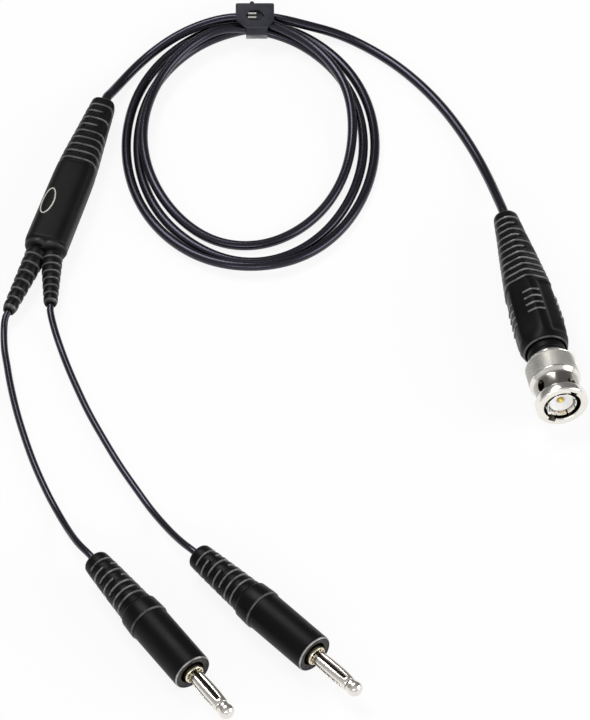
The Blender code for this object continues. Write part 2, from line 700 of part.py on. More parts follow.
def coil_keys():
    """(angle along the whole coil, inset, height) from before the first pass to after the last."""
    corners = [TWIST_HALF * s for s in (-1, -0.5, 0, 0.5, 1)]
    keys = [(-COIL_OVERRUN, 0.0, 4.7)]
    for number in range(COIL_TURNS + 1):
        keys += [(360 * number + a, *bundle_place(number, a)) for a in corners]
        if number < COIL_TURNS:
            keys += [(360 * number + a, inset, height) for a, inset, height in TURN_KEYS[number]]
    keys.append((360 * COIL_TURNS + COIL_OVERRUN, 0.0, 4.7))
    return keys


def coil_point(angle, inset, height):
    """A point of the coil, set in square to the outermost turn's ellipse."""
    turn = math.radians(angle)
    x, y = COIL_HALF_WIDTH * math.sin(turn), COIL_HALF_DEPTH * math.cos(turn)
    out = Vector((x / COIL_HALF_WIDTH**2, y / COIL_HALF_DEPTH**2)).normalized()
    return (COIL_CENTRE[0] + x - inset * out.x, COIL_CENTRE[1] + y - inset * out.y, height)


def coil_points():
    keys = coil_keys()
    angles = [-COIL_OVERRUN]
    for number in range(COIL_TURNS + 1):
        angles += [360 * number + TWIST_HALF * s for s in (-1, -0.5, 0, 0.5, 1)]
        if number < COIL_TURNS:
            free = range(2 * COIL_STEP, 360 - COIL_STEP, COIL_STEP)
            angles += [360 * number + a for a in (COIL_OVERRUN, *free, 360 - COIL_OVERRUN)]
    angles.append(360 * COIL_TURNS + COIL_OVERRUN)
    points = [coil_point(a, *through(keys, a)) for a in angles]
    first = (Vector(points[0]) - Vector(points[1])).normalized() * 2 * COAX_R
    last = (Vector(points[-1]) - Vector(points[-2])).normalized() * 2 * COAX_R
    return [tuple(Vector(points[0]) + first), *points, tuple(Vector(points[-1]) + last)]


def least_gap(points, radius, apart=30.0):
    """The least gap between stretches of a tube that are well apart along it."""
    fine = []
    walked = 0.0
    for near, far in zip(points, points[1:]):
        run = math.dist(near, far)
        steps = max(round(run / 0.7), 1)
        for i in range(steps):
            place = Vector(near).lerp(Vector(far), i / steps)
            fine.append((walked + run * i / steps, place))
        walked += run
    least = min(
        (p - q).length
        for i, (a, p) in enumerate(fine)
        for b, q in fine[i + 1:]
        if b - a > apart and abs(p.x - q.x) < 5 and abs(p.y - q.y) < 5
    )
    return least - 2 * radius


def on_axis(place, along, aside=0.0, up=0.0):
    """A point of a plug's own frame in the table's frame."""
    heading, tilt = math.radians(place["heading"]), math.radians(place["tilt"])
    turn = Matrix.Rotation(heading, 3, "Z") @ Matrix.Rotation(-tilt, 3, "Y")
    return tuple(Vector(place["at"]) + turn @ Vector((along, aside, up)))


def leg_exit(side, beyond):
    root, tip = leg_line(side)
    return on_axis(SPLITTER_PLACE, *(tip + beyond * (tip - root).normalized()))


def toward(near, far, distance):
    """The point that far beyond near, on the way from far to near."""
    return tuple(Vector(near) + (Vector(near) - Vector(far)).normalized() * distance)


def lead_routes():
    """The routes of the two single leads, from the splitter's legs to the banana plugs."""
    left, right = BANANA_PLACES["left"], BANANA_PLACES["right"]
    return {
        "left": [
            leg_exit("left", GAP), leg_exit("left", 2.2), (-77.4, 8.8, 1.9), (-77.2, 3.0, 1.1),
            (-76.4, -2.9, 1.0), (-75.5, -9.1, 1.0), (-73.7, -18.5, 1.0), (-71.4, -27.8, 1.0),
            (-68.7, -37.0, 1.0), (-65.4, -46.2, 1.0), (-62.5, -53.2, 1.2), (-59.6, -60.3, 2.5),
            (-56.9, -66.6, 4.6), on_axis(left, -2.0), on_axis(left, 0.0),
        ],
        "right": [
            leg_exit("right", GAP), leg_exit("right", 2.2), (-63.9, 8.8, 2.0), (-62.2, 3.0, 1.1),
            (-60.4, -2.9, 1.0), (-58.3, -9.1, 1.0), (-54.8, -18.5, 1.0), (-50.7, -27.8, 1.0),
            (-46.3, -37.0, 1.0), (-41.3, -46.2, 1.0), (-37.6, -52.8, 1.2), (-33.2, -60.5, 2.8),
            (-29.7, -66.2, 4.6), on_axis(right, -2.0), on_axis(right, 0.0),
        ],
    }


def coax_routes(coil):
    """The routes of the coax's two ends, from the coil's first and last points."""
    return {
        "coax_lead_splitter": [
            toward(coil[0], coil[1], GAP), toward(coil[0], coil[1], GAP + 2.6), (-31.1, 111.6, 4.15),
            (-33.8, 110.4, 3.2), (-36.5, 108.8, 2.2), (-39.2, 106.5, 1.6), (-42.2, 103.2, 1.4),
            (-46.3, 97.3, 1.6), (-49.1, 91.9, 3.0), on_axis(SPLITTER_PLACE, -2.6),
            on_axis(SPLITTER_PLACE, 0.0),
        ],
        "coax_lead_bnc": [
            toward(coil[-1], coil[-2], GAP), toward(coil[-1], coil[-2], GAP + 2.6), (9.4, 114.2, 2.5),
            (16.2, 111.4, 1.5), (25.2, 104.8, 1.4), (33.0, 96.8, 1.4), (40.2, 87.0, 1.4), (46.6, 75.2, 1.45),
            (51.3, 63.7, 1.9), (54.0, 54.2, 3.7), on_axis(BNC_PLACE, -2.6), on_axis(BNC_PLACE, 0.0),
        ],
    }


def make_cords():
    coil = coil_points()
    print(f"coil: {length_of(coil):.0f} mm, least gap to itself {least_gap(coil, COAX_R):.2f} mm")
    tube("coax_coil", coil, COAX_R, 1, CORD)
    total = length_of(coil)
    for name, route in coax_routes(coil).items():
        points = route_points(route, 2.5 * 2 * COAX_R)
        total += length_of(points)
        tube(name, points, COAX_R, 2, CORD)
    print(f"coax: {total:.0f} mm in all")
    for side, route in lead_routes().items():
        points = route_points(route, 3 * 2 * WIRE_R)
        print(f"{side} lead: {length_of(points):.0f} mm")
        tube(f"lead_{side}", points, WIRE_R, 2, CORD)


def make_strap():
    """A rubber band round the four passes, with a wider tab whose slot the band's end comes through."""
    frame = bpy.data.objects.new("strap_axis", None)
    bpy.context.scene.collection.objects.link(frame)
    middle = coil_point(2.0, BUNDLE_INSET, BUNDLE_HEIGHT)
    frame.location = ((middle[0] + FRAME_SHIFT[0]) * MM, (middle[1] + FRAME_SHIFT[1]) * MM, middle[2] * MM)
    near, far = STRAP_SHIFT - STRAP_WIDTH / 2, STRAP_SHIFT + STRAP_WIDTH / 2
    outer = STRAP_INNER_R + STRAP_WALL
    profile = [(near, STRAP_INNER_R), (near, outer), (far, outer), (far, STRAP_INNER_R)]
    band = turned("tie_strap", profile, 24, RUBBER, frame)
    bm = bmesh.new()
    base = bm.faces.new([bm.verts.new((x, y, STRAP_INNER_R + 0.2)) for x, y in TAB_OUTLINE])
    raised = bmesh.ops.extrude_face_region(bm, geom=[base])
    top = [item for item in raised["geom"] if isinstance(item, bmesh.types.BMVert)]
    bmesh.ops.translate(bm, vec=(0, 0, TAB_THICKNESS), verts=top)
    tab = finish("tab_form", bm, RUBBER, frame)
    tab.data.transform(Matrix.Rotation(math.radians(TAB_LEAN), 4, "X"))
    boolean(band, as_helper(tab), "UNION")


def main():
    clear_scene()
    make_bnc_plug()
    make_splitter()
    for side in BANANA_PLACES:
        make_banana_plug(side)
    make_cords()
    make_strap()


main()
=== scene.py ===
import json
import math

import bmesh
import bpy
import numpy as np
from mathutils import Matrix, Vector


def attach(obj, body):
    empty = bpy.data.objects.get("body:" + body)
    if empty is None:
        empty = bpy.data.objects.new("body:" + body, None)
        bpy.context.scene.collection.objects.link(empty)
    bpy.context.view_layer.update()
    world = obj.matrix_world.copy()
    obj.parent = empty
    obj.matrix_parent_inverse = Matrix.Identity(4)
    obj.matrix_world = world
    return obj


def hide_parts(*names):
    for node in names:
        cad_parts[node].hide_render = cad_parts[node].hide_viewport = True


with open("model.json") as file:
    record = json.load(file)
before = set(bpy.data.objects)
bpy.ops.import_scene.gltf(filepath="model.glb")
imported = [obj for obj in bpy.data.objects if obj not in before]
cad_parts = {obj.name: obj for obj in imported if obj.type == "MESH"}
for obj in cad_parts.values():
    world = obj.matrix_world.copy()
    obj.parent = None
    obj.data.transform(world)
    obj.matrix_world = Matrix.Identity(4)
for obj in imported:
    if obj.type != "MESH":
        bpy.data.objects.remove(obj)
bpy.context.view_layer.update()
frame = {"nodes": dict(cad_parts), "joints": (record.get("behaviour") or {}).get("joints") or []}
mm = 0.001
print("frame loaded:", len(frame["nodes"]), "nodes")


# camera, from above the table and in front of the plugs

cameraSetup = {"aim": (0.131, 19.309, 0.0), "elevation": 50.0, "distance": 3.8, "lens": 715.35}


def makeCamera(setup):
    aim = Vector(setup["aim"]) * mm
    rise = math.radians(setup["elevation"])
    bpy.ops.object.camera_add(
        location=aim + setup["distance"] * Vector((0.0, -math.cos(rise), math.sin(rise))),
        rotation=(math.pi / 2 - rise, 0.0, 0.0),
    )
    camera = bpy.context.object
    camera.name = "tableCamera"
    camera.data.sensor_width = 36.0
    camera.data.lens = setup["lens"]
    bpy.context.scene.camera = camera


makeCamera(cameraSetup)
print("camera placed")


# what every piece is made with

def deselectAll():
    if bpy.context.mode != "OBJECT":
        bpy.ops.object.mode_set(mode="OBJECT")
    bpy.ops.object.select_all(action="DESELECT")


def pickOnly(piece):
    deselectAll()
    piece.select_set(True)
    bpy.context.view_layer.objects.active = piece


def editStart(piece):
    pickOnly(piece)
    bpy.ops.object.mode_set(mode="EDIT")
    bpy.ops.mesh.select_all(action="SELECT")


def editEnd():
    bpy.ops.object.mode_set(mode="OBJECT")


def selectCorners(piece, least):
    # on a wire, the points where it turns by more than that many degrees
    bm = bmesh.from_edit_mesh(piece.data)
    for edge in bm.edges:
        edge.select = False
    for point in bm.verts:
        point.select = False
        if len(point.link_edges) == 2:
            a, b = (edge.other_vert(point).co - point.co for edge in point.link_edges)
            if a.length > 0 and b.length > 0 and math.degrees(math.pi - a.angle(b)) > least:
                point.select = True
    bmesh.update_edit_mesh(piece.data)


def drawWire(name, points):
    # a wire drawn point by point, left open for editing
    deselectAll()
    bpy.ops.mesh.primitive_plane_add(size=mm, location=tuple(value * mm for value in points[0]))
    piece = bpy.context.object
    piece.name = name
    bpy.ops.object.transform_apply(location=True, rotation=False, scale=False)
    bpy.ops.object.mode_set(mode="EDIT")
    bpy.ops.mesh.select_all(action="SELECT")
    bpy.ops.mesh.merge(type="CENTER")
    for near, far in zip(points, points[1:]):
        step = tuple((b - a) * mm for a, b in zip(near, far))
        bpy.ops.mesh.extrude_region_move(TRANSFORM_OT_translate={"value": step})
    return piece


def closeWire(piece):
    bm = bmesh.from_edit_mesh(piece.data)
    bm.edges.new([point for point in bm.verts if len(point.link_edges) == 1])
    bmesh.update_edit_mesh(piece.data)


def turnProfile(name, profile, sides, rounding=0.0, closed=False, sweep=360.0, segments=2):
    # an outline given as (along, radius), its corners rounded, then spun round Z
    piece = drawWire(name, [(radius, 0.0, along) for along, radius in profile])
    if closed:
        closeWire(piece)
    if rounding:
        selectCorners(piece, 25)
        bpy.ops.mesh.bevel(offset=rounding * mm, segments=segments, affect="VERTICES")
    bpy.ops.mesh.select_all(action="SELECT")
    bpy.ops.mesh.spin(
        steps=sides, angle=math.radians(sweep), center=(0.0, 0.0, 0.0), axis=(0.0, 0.0, 1.0),
    )
    bpy.ops.mesh.select_all(action="SELECT")
    bpy.ops.mesh.remove_doubles(threshold=1e-7)
    if sweep < 360:
        bpy.ops.mesh.select_all(action="DESELECT")
        bpy.ops.mesh.select_non_manifold()
        bpy.ops.mesh.fill_holes(sides=0)
        bpy.ops.mesh.select_all(action="SELECT")
    bpy.ops.mesh.normals_make_consistent(inside=False)
    editEnd()
    return piece


def drawPlate(name, outline, low, high, rounding):
    # a flat outline, its corners rounded, filled and pulled up
    plate = drawWire(name, [(x, y, low) for x, y in outline])
    closeWire(plate)
    bpy.ops.mesh.select_all(action="SELECT")
    bpy.ops.mesh.bevel(offset=rounding * mm, segments=3, affect="VERTICES")
    bpy.ops.mesh.select_all(action="SELECT")
    bpy.ops.mesh.edge_face_add()
    bpy.ops.mesh.extrude_region_move(TRANSFORM_OT_translate={"value": (0.0, 0.0, (high - low) * mm)})
    bpy.ops.mesh.select_all(action="SELECT")
    bpy.ops.mesh.normals_make_consistent(inside=False)
    editEnd()
    return plate


def pointsOf(piece):
    points = np.empty(len(piece.data.vertices) * 3, np.float32)
    piece.data.vertices.foreach_get("co", points)
    return points.reshape(-1, 3)


def polar(points):
    # how far each point is from Z and its turn round it, from up towards the side
    return np.hypot(points[:, 0], points[:, 1]), np.arctan2(points[:, 0], points[:, 1])


def setPolar(points, reach, theta):
    points[:, 0], points[:, 1] = reach * np.sin(theta), reach * np.cos(theta)
    return points


def moveVertices(piece, rule):
    # the rule gets the points in millimetres, one row each, and gives them back moved
    moved = rule(pointsOf(piece).astype(float) / mm) * mm
    piece.data.vertices.foreach_set("co", moved.astype(np.float32).ravel())
    piece.data.update()


def markRims(piece, rule, name="rim"):
    # keeps a 0 to 1 value on each vertex, which a finish reads as its painted highlights on rims, or as its
    # ridges, low where it paints shade
    points = pointsOf(piece) / mm
    values = rule(points[:, 2], *polar(points))
    mark = piece.data.attributes.new(name, "FLOAT", "POINT")
    mark.data.foreach_set("value", np.asarray(values, np.float32))


def turnTo(piece, degrees):
    # swings a part-turned piece round Z until its middle faces that many degrees from up
    points = np.array([point.co for point in piece.data.vertices])
    middle = math.degrees(math.atan2(points[:, 0].mean(), points[:, 1].mean()))
    piece.data.transform(Matrix.Rotation(math.radians(middle - degrees), 4, "Z"))


def settle(piece, place):
    # puts a piece made round Z where its place says, and keeps its object at the origin
    pickOnly(piece)
    piece.matrix_world = place @ piece.matrix_world
    bpy.ops.object.transform_apply(location=True, rotation=True, scale=True)
    return piece


def applyModifiers(piece):
    pickOnly(piece)
    for modifier in list(piece.modifiers):
        bpy.ops.object.modifier_apply(modifier=modifier.name)


def softened(piece, width, angle=40.0):
    soft = piece.modifiers.new("soft", "BEVEL")
    soft.width = width * mm
    soft.segments = 2
    soft.limit_method = "ANGLE"
    soft.angle_limit = math.radians(angle)
    applyModifiers(piece)
    return piece


def boxCutter(name, middle, size, turn):
    deselectAll()
    bpy.ops.mesh.primitive_cube_add(
        size=1.0, location=Vector(middle) * mm, rotation=(0.0, 0.0, turn),
        scale=tuple(value * mm for value in size),
    )
    bpy.context.object.name = name
    return bpy.context.object


def cutWith(piece, cutters):
    for cutter in cutters:
        step = piece.modifiers.new(cutter.name, "BOOLEAN")
        step.operation = "DIFFERENCE"
        step.solver = "EXACT"
        step.object = cutter
    applyModifiers(piece)
    for cutter in cutters:
        bpy.data.objects.remove(cutter, do_unlink=True)


def joined(first, *others):
    deselectAll()
    for piece in (first, *others):
        piece.select_set(True)
    bpy.context.view_layer.objects.active = first
    bpy.ops.object.join()
    return first


def dress(piece, material, body, nodes=(), smooth=32):
    pickOnly(piece)
    bpy.ops.object.shade_smooth_by_angle(angle=math.radians(smooth))
    piece.data.materials.clear()
    piece.data.materials.append(material)
    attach(piece, body)
    if nodes:
        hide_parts(*nodes)
    return piece


def smoothStep(value, low, high):
    t = np.clip((value - low) / (high - low), 0.0, 1.0)
    return t * t * (3 - 2 * t)


# where the plugs and the splitter lie: Z runs along each, Y is up and X to its side

def placeOf(origin, axis):
    axis = Vector(axis).normalized()
    side = Vector((0.0, 0.0, 1.0)).cross(axis).normalized()
    up = axis.cross(side)
    return Matrix.Translation(origin) @ Matrix((side, up, axis)).transposed().to_4x4()


def jointPlace(name, along):
    joint = next(item for item in frame["joints"] if item["name"] == name)
    axis = Vector(joint["axis"]).normalized()
    return placeOf(Vector(joint["pos_m"]) - axis * along * mm, axis)


splitterLine = {"start": (-51.269, 105.309, 4.6), "heading": -106.7}
jointAlong = {"nut": 62.0, "lantern": 52.7}    # how far from a plug's rear end its joint sits

plugPlace = jointPlace("nut_turn", jointAlong["nut"])
bananaPlaces = {
    side: jointPlace(f"{side}_lantern_turn", jointAlong["lantern"]) for side in ("left", "right")
}
splitterTurn = math.radians(splitterLine["heading"])
splitterPlace = placeOf(
    Vector(splitterLine["start"]) * mm, (math.cos(splitterTurn), math.sin(splitterTurn), 0.0),
)


# finishes

def setSockets(node, values):
    for name, value in values.items():
        node.inputs[name.replace("_", " ")].default_value = value


def addNode(tree, kind, operation=None, **values):
    node = tree.nodes.new(kind)
    if operation:
        node.operation = operation
    setSockets(node, values)
    return node


def newMaterial(name, **values):
    material = bpy.data.materials.new(name)
    material.use_nodes = True
    shader = material.node_tree.nodes["Principled BSDF"]
    setSockets(shader, values)
    return material, material.node_tree, shader


def newGroup(name, inputs, outputs):
    # an empty node group whose sockets are numbers, apart from one called Vector
    group = bpy.data.node_groups.new(name, "ShaderNodeTree")
    for direction, sockets in (("INPUT", inputs), ("OUTPUT", outputs)):
        for socket in sockets:
            kind = "NodeSocketVector" if socket == "Vector" else "NodeSocketFloat"
            group.interface.new_socket(socket, in_out=direction, socket_type=kind)
    return group, group.nodes.new("NodeGroupInput").outputs, group.nodes.new("NodeGroupOutput").inputs


def makeGrainGroup():
    # fine moulded grain and a slower cloudiness
    inputs = ("Vector", "Grain Scale", "Cloud Scale")
    group, given, made = newGroup("mouldedGrain", inputs, ("Grain", "Cloud"))
    grain = addNode(group, "ShaderNodeTexNoise", Detail=3.0, Roughness=0.6)
    cloud = addNode(group, "ShaderNodeTexNoise", Detail=2.0, Roughness=0.5)
    for noise, name in ((grain, "Grain"), (cloud, "Cloud")):
        group.links.new(given["Vector"], noise.inputs["Vector"])
        group.links.new(given[f"{name} Scale"], noise.inputs["Scale"])
        group.links.new(noise.outputs["Fac"], made[name])
    return group


def makeRimGroup():
    # a mask for highlights painted along rims, a little uneven along their length
    group, given, made = newGroup("paintedRimHighlights", ("Vector", "Rim"), ("Mask",))
    breaks = addNode(group, "ShaderNodeTexNoise", Scale=420.0, Detail=2.0)
    uneven = addNode(group, "ShaderNodeMapRange", From_Min=0.3, From_Max=0.6, To_Min=0.35)
    times = addNode(group, "ShaderNodeMath", "MULTIPLY")
    group.links.new(given["Vector"], breaks.inputs["Vector"])
    group.links.new(breaks.outputs["Fac"], uneven.inputs["Value"])
    group.links.new(given["Rim"], times.inputs[0])
    group.links.new(uneven.outputs["Result"], times.inputs[1])
    group.links.new(times.outputs["Value"], made["Mask"])
    return group


def makeTurningGroup():
    # fine rings left by the lathe, for coordinates whose Z runs along the piece
    group, given, made = newGroup("turningMarks", ("Vector", "Ring Scale"), ("Rings", "Smudge"))
    apart = group.nodes.new("ShaderNodeSeparateXYZ")
    far = addNode(group, "ShaderNodeVectorMath", "MULTIPLY")
    far.inputs[1].default_value = (1.0, 1.0, 0.0)
    reach = addNode(group, "ShaderNodeVectorMath", "LENGTH")
    total = addNode(group, "ShaderNodeMath", "ADD")
    rings = addNode(group, "ShaderNodeTexNoise", Detail=3.0, Roughness=0.7)
    rings.noise_dimensions = "1D"
    smudge = addNode(group, "ShaderNodeTexNoise", Scale=260.0, Detail=3.0, Roughness=0.6)
    for target in (apart.inputs["Vector"], far.inputs[0], smudge.inputs["Vector"]):
        group.links.new(given["Vector"], target)
    group.links.new(far.outputs["Vector"], reach.inputs[0])
    group.links.new(apart.outputs["Z"], total.inputs[0])
    group.links.new(reach.outputs["Value"], total.inputs[1])
    group.links.new(total.outputs["Value"], rings.inputs["W"])
    group.links.new(given["Ring Scale"], rings.inputs["Scale"])
    group.links.new(rings.outputs["Fac"], made["Rings"])
    group.links.new(smudge.outputs["Fac"], made["Smudge"])
    return group


grainGroup = makeGrainGroup()
rimGroup = makeRimGroup()
turningGroup = makeTurningGroup()


def placed(tree, group, source, **values):
    # one use of a node group, read at the coordinates that the source gives
    node = addNode(tree, "ShaderNodeGroup")
    node.node_tree = group
    setSockets(node, values)
    tree.links.new(source, node.inputs["Vector"])
    return node


def mappedRange(tree, source, low, high):
    node = addNode(tree, "ShaderNodeMapRange", From_Min=0.3, From_Max=0.7, To_Min=low, To_Max=high)
    tree.links.new(source, node.inputs["Value"])
    return node.outputs["Result"]


def mixedColour(tree, factor, dark, light):
    node = tree.nodes.new("ShaderNodeMix")
    node.data_type = "RGBA"
    tree.links.new(factor, node.inputs["Factor"])
    for socket, value in zip(("A", "B"), (dark, light)):
        target = [item for item in node.inputs if item.name == socket and item.type == "RGBA"][0]
        if hasattr(value, "is_output"):
            tree.links.new(value, target)
        else:
            target.default_value = (*value, 1.0)
    return [item for item in node.outputs if item.type == "RGBA"][0]


def bumped(tree, shader, height, strength, distance):
    node = addNode(tree, "ShaderNodeBump", Strength=strength, Distance=distance)
    tree.links.new(height, node.inputs["Height"])
    tree.links.new(node.outputs["Normal"], shader.inputs["Normal"])


def makePlastic(
    name, dark, light, rough, rim=None, shine=0.12, tint=(1.0, 1.0, 1.0), grainScale=2600.0, bump=0.25,
    cloudScale=90.0,
):
    # moulded plastic or rubber: grain, a cloudy sheen and, where the piece marks them, painted highlights on
    # rims
    material, tree, shader = newMaterial(
        name, Specular_IOR_Level=shine, Specular_Tint=(*tint, 1.0), Coat_Roughness=0.25,
    )
    place = tree.nodes.new("ShaderNodeTexCoord").outputs["Object"]
    grain = placed(tree, grainGroup, place, Grain_Scale=grainScale, Cloud_Scale=cloudScale)
    colour = mixedColour(tree, grain.outputs["Cloud"], dark, light)
    if rim:
        marked = tree.nodes.new("ShaderNodeAttribute")
        marked.attribute_name = "rim"
        rims = placed(tree, rimGroup, place)
        tree.links.new(marked.outputs["Fac"], rims.inputs["Rim"])
        tree.links.new(rims.outputs["Mask"], shader.inputs["Coat Weight"])
        colour = mixedColour(tree, rims.outputs["Mask"], colour, rim)
    tree.links.new(colour, shader.inputs["Base Color"])
    tree.links.new(mappedRange(tree, grain.outputs["Cloud"], *rough), shader.inputs["Roughness"])
    bumped(tree, shader, grain.outputs["Grain"], bump, 0.00002)
    return material


def makeMetal(name, dark, light, rough, place=None, paintedShade=None):
    # plated metal with turning marks round its own axis, faint smudges and painted shade, darker in the
    # valleys, bores and recesses that the piece marks
    material, tree, shader = newMaterial(name, Metallic=1.0)
    source = tree.nodes.new("ShaderNodeTexCoord").outputs["Object"]
    if place:
        turn = addNode(
            tree, "ShaderNodeMapping", Location=place.to_translation(), Rotation=place.to_euler(),
        )
        turn.vector_type = "TEXTURE"
        tree.links.new(source, turn.inputs["Vector"])
        source = turn.outputs["Vector"]
    marks = placed(tree, turningGroup, source, Ring_Scale=9000.0)
    colour = mixedColour(tree, marks.outputs["Smudge"], dark, light)
    if paintedShade:
        marked = tree.nodes.new("ShaderNodeAttribute")
        marked.attribute_name = "ridge"
        colour = mixedColour(tree, marked.outputs["Fac"], paintedShade, colour)
    tree.links.new(colour, shader.inputs["Base Color"])
    tree.links.new(mappedRange(tree, marks.outputs["Smudge"], *rough), shader.inputs["Roughness"])
    bumped(tree, shader, marks.outputs["Rings"], 0.12, 0.00001)
    return material


def makePtfe(name):
    material, tree, shader = newMaterial(name, IOR=1.38, Subsurface_Weight=0.2, Subsurface_Scale=0.001)
    place = tree.nodes.new("ShaderNodeTexCoord").outputs["Object"]
    grain = placed(tree, grainGroup, place, Grain_Scale=1800.0, Cloud_Scale=300.0)
    colour = mixedColour(tree, grain.outputs["Cloud"], (0.82, 0.82, 0.8), (0.9, 0.9, 0.89))
    tree.links.new(colour, shader.inputs["Base Color"])
    tree.links.new(mappedRange(tree, grain.outputs["Cloud"], 0.35, 0.5), shader.inputs["Roughness"])
    bumped(tree, shader, grain.outputs["Grain"], 0.1, 0.00002)
    return material


# the colour of the highlights painted along rib fronts and lips
paintedRimHighlight = (0.22, 0.22, 0.225)
bootPlastic = makePlastic(
    "bootPlastic", (0.002, 0.002, 0.0025), (0.005, 0.005, 0.006), (0.34, 0.46), paintedRimHighlight,
)
# the barrel's last colour is the highlight painted on its front edge and, faintly, on its face
barrelPlastic = makePlastic(
    "barrelPlastic", (0.002, 0.002, 0.0022), (0.0045, 0.0042, 0.0045), (0.4, 0.48), (0.42, 0.41, 0.4),
)
splitterPlastic = makePlastic(
    "splitterPlastic", (0.0018, 0.0018, 0.002), (0.005, 0.0046, 0.0045), (0.4, 0.52), paintedRimHighlight, shine=0.16,
)
cordJacket = makePlastic(
    "cordJacket", (0.002, 0.0018, 0.003), (0.0045, 0.004, 0.006), (0.22, 0.3), shine=0.6,
    tint=(0.8, 0.77, 1.0), grainScale=1500.0, bump=0.05, cloudScale=40.0,
)
# the strap's fourth colour is the highlight painted along the band's lower front edge
strapRubber = makePlastic(
    "strapRubber", (0.004, 0.004, 0.006), (0.036, 0.036, 0.054), (0.45, 0.62), (0.32, 0.31, 0.34),
    shine=0.3, grainScale=1200.0, bump=0.7, cloudScale=420.0,
)
innerPlastic = makePlastic("innerPlastic", (0.02, 0.02, 0.022), (0.03, 0.03, 0.033), (0.4, 0.5))
sealRubber = makePlastic("sealRubber", (0.03, 0.012, 0.01), (0.05, 0.02, 0.015), (0.5, 0.6))
badgePaint = makePlastic(
    "badgePaint", (0.42, 0.41, 0.37), (0.6, 0.59, 0.54), (0.4, 0.5), shine=0.3, grainScale=2000.0,
    bump=0.3, cloudScale=500.0,
)
plugNickel = makeMetal("plugNickel", (0.82, 0.79, 0.74), (0.94, 0.92, 0.88), (0.16, 0.26), plugPlace)
# the nut's last colour is painted shade for its bore, its hole walls and its waist
nutNickel = makeMetal(
    "nutNickel", (0.8, 0.77, 0.71), (0.93, 0.91, 0.86), (0.16, 0.26), plugPlace, (0.07, 0.052, 0.03),
)
# the knurl's last colour is shade painted into its grooves
knurlNickel = makeMetal(
    "knurlNickel", (0.84, 0.82, 0.77), (0.96, 0.94, 0.9), (0.36, 0.46), plugPlace, (0.3, 0.285, 0.255),
)
pinGold = makeMetal("pinGold", (0.75, 0.56, 0.1), (0.85, 0.68, 0.2), (0.2, 0.3), plugPlace)
# the seat's last colour is shade painted on all but its front face
brassShoulder = makeMetal(
    "brassShoulder", (0.78, 0.7, 0.5), (0.9, 0.84, 0.66), (0.22, 0.32), paintedShade=(0.02, 0.015, 0.01),
)
tinnedCopper = makeMetal("tinnedCopper", (0.55, 0.5, 0.44), (0.66, 0.62, 0.56), (0.3, 0.42))
shadedSteel = makeMetal("shadedSteel", (0.06, 0.05, 0.045), (0.1, 0.085, 0.075), (0.3, 0.4))
bananaNickel = {
    side: makeMetal(f"bananaNickel_{side}", (0.76, 0.72, 0.67), (0.9, 0.87, 0.82), (0.2, 0.3), place)
    for side, place in bananaPlaces.items()
}
ptfeWhite = makePtfe("ptfeWhite")
print("finishes made:", len(bpy.data.materials))

nodeFinish = {
    "bnc_body": plugNickel, "bnc_thrust_washer": plugNickel, "bnc_wave_washer": plugNickel,
    "bnc_retaining_clip": plugNickel, "bnc_outer_contact": plugNickel, "bnc_coupling_nut": nutNickel,
    "bnc_center_pin": pinGold, "bnc_insulator": ptfeWhite, "bnc_cable_core": ptfeWhite,
    "bnc_crimp_ferrule": tinnedCopper, "bnc_gasket": sealRubber, "splitter_carrier": innerPlastic,
    "splitter_core_splice": tinnedCopper, "splitter_screen_splice": tinnedCopper,
    "splitter_wire_left": cordJacket, "splitter_wire_right": cordJacket, "splitter_cable_jacket": cordJacket,
    "bnc_cable_jacket": cordJacket, "bnc_boot": bootPlastic, "splitter_overmould": splitterPlastic,
    "tie_strap": strapRubber,
}
for side in bananaPlaces:
    nodeFinish[f"banana_{side}_pin"] = bananaNickel[side]
    nodeFinish[f"banana_{side}_lantern"] = bananaNickel[side]
    nodeFinish[f"banana_{side}_crimp"] = tinnedCopper
    nodeFinish[f"banana_{side}_wire"] = cordJacket
    nodeFinish[f"banana_{side}_insert"] = innerPlastic
    nodeFinish[f"banana_{side}_boot"] = bootPlastic
    nodeFinish[f"banana_{side}_barrel"] = barrelPlastic
for name, node in frame["nodes"].items():
    node.data.materials.clear()
    node.data.materials.append(nodeFinish.get(name, cordJacket))


# cords, on the same lines as the CAD's

coilSetup = {
    "centre": (-11.9, 74.0), "shift": (0.131, 19.309), "halfWidth": 33.75, "halfDepth": 44.2, "turns": 3,
    "overrun": 22.0, "end": (0.2, 5.0),    # the coil ends that far past the strap, at that inset and height
    "bundleInset": 2.75, "bundleHeight": 4.35, "bundleRadius": 2.26, "bundlePhase": 135.0, "twistHalf": 15.0,
    "step": 3.0, "radius": 1.3,
}
# each turn as (angle from the strap, inset from the outermost turn's line, height of the middle)
turnKeys = (
    ((22, 4.4, 5.7), (30, 4.4, 5.4), (45, 4.4, 5.0), (60, 4.4, 4.45), (75, 5.3, 3.75), (90, 6.45, 2.1),
     (120, 8.1, 1.35), (150, 9.1, 1.35), (180, 8.8, 1.35), (210, 7.5, 1.5), (240, 5.8, 3.2), (270, 4.5, 4.3),
     (300, 4.5, 4.4), (315, 4.5, 4.95), (330, 4.45, 5.6), (338, 4.4, 5.8)),
    ((22, 4.2, 2.4), (30, 3.95, 1.9), (45, 3.6, 1.5), (60, 3.25, 1.35), (90, 3.2, 1.35), (120, 3.5, 1.35),
     (150, 3.1, 1.35), (180, 2.75, 1.35), (210, 3.5, 1.35), (240, 3.2, 1.35), (270, 3.15, 1.35),
     (300, 3.25, 1.35), (315, 3.6, 1.5), (330, 4.0, 2.0), (338, 4.2, 2.4)),
    ((22, 1.0, 2.2), (30, 0.8, 1.75), (45, 0.4, 1.4), (60, 0.1, 1.35), (90, 0.05, 1.35), (120, 0.4, 1.35),
     (150, 0.05, 2.2), (180, 0.0, 3.05), (210, 0.35, 1.9), (240, 0.05, 1.35), (270, 0.0, 1.35),
     (300, 0.05, 1.35), (315, 0.4, 1.4), (330, 0.8, 1.8), (338, 1.0, 2.2)),
)
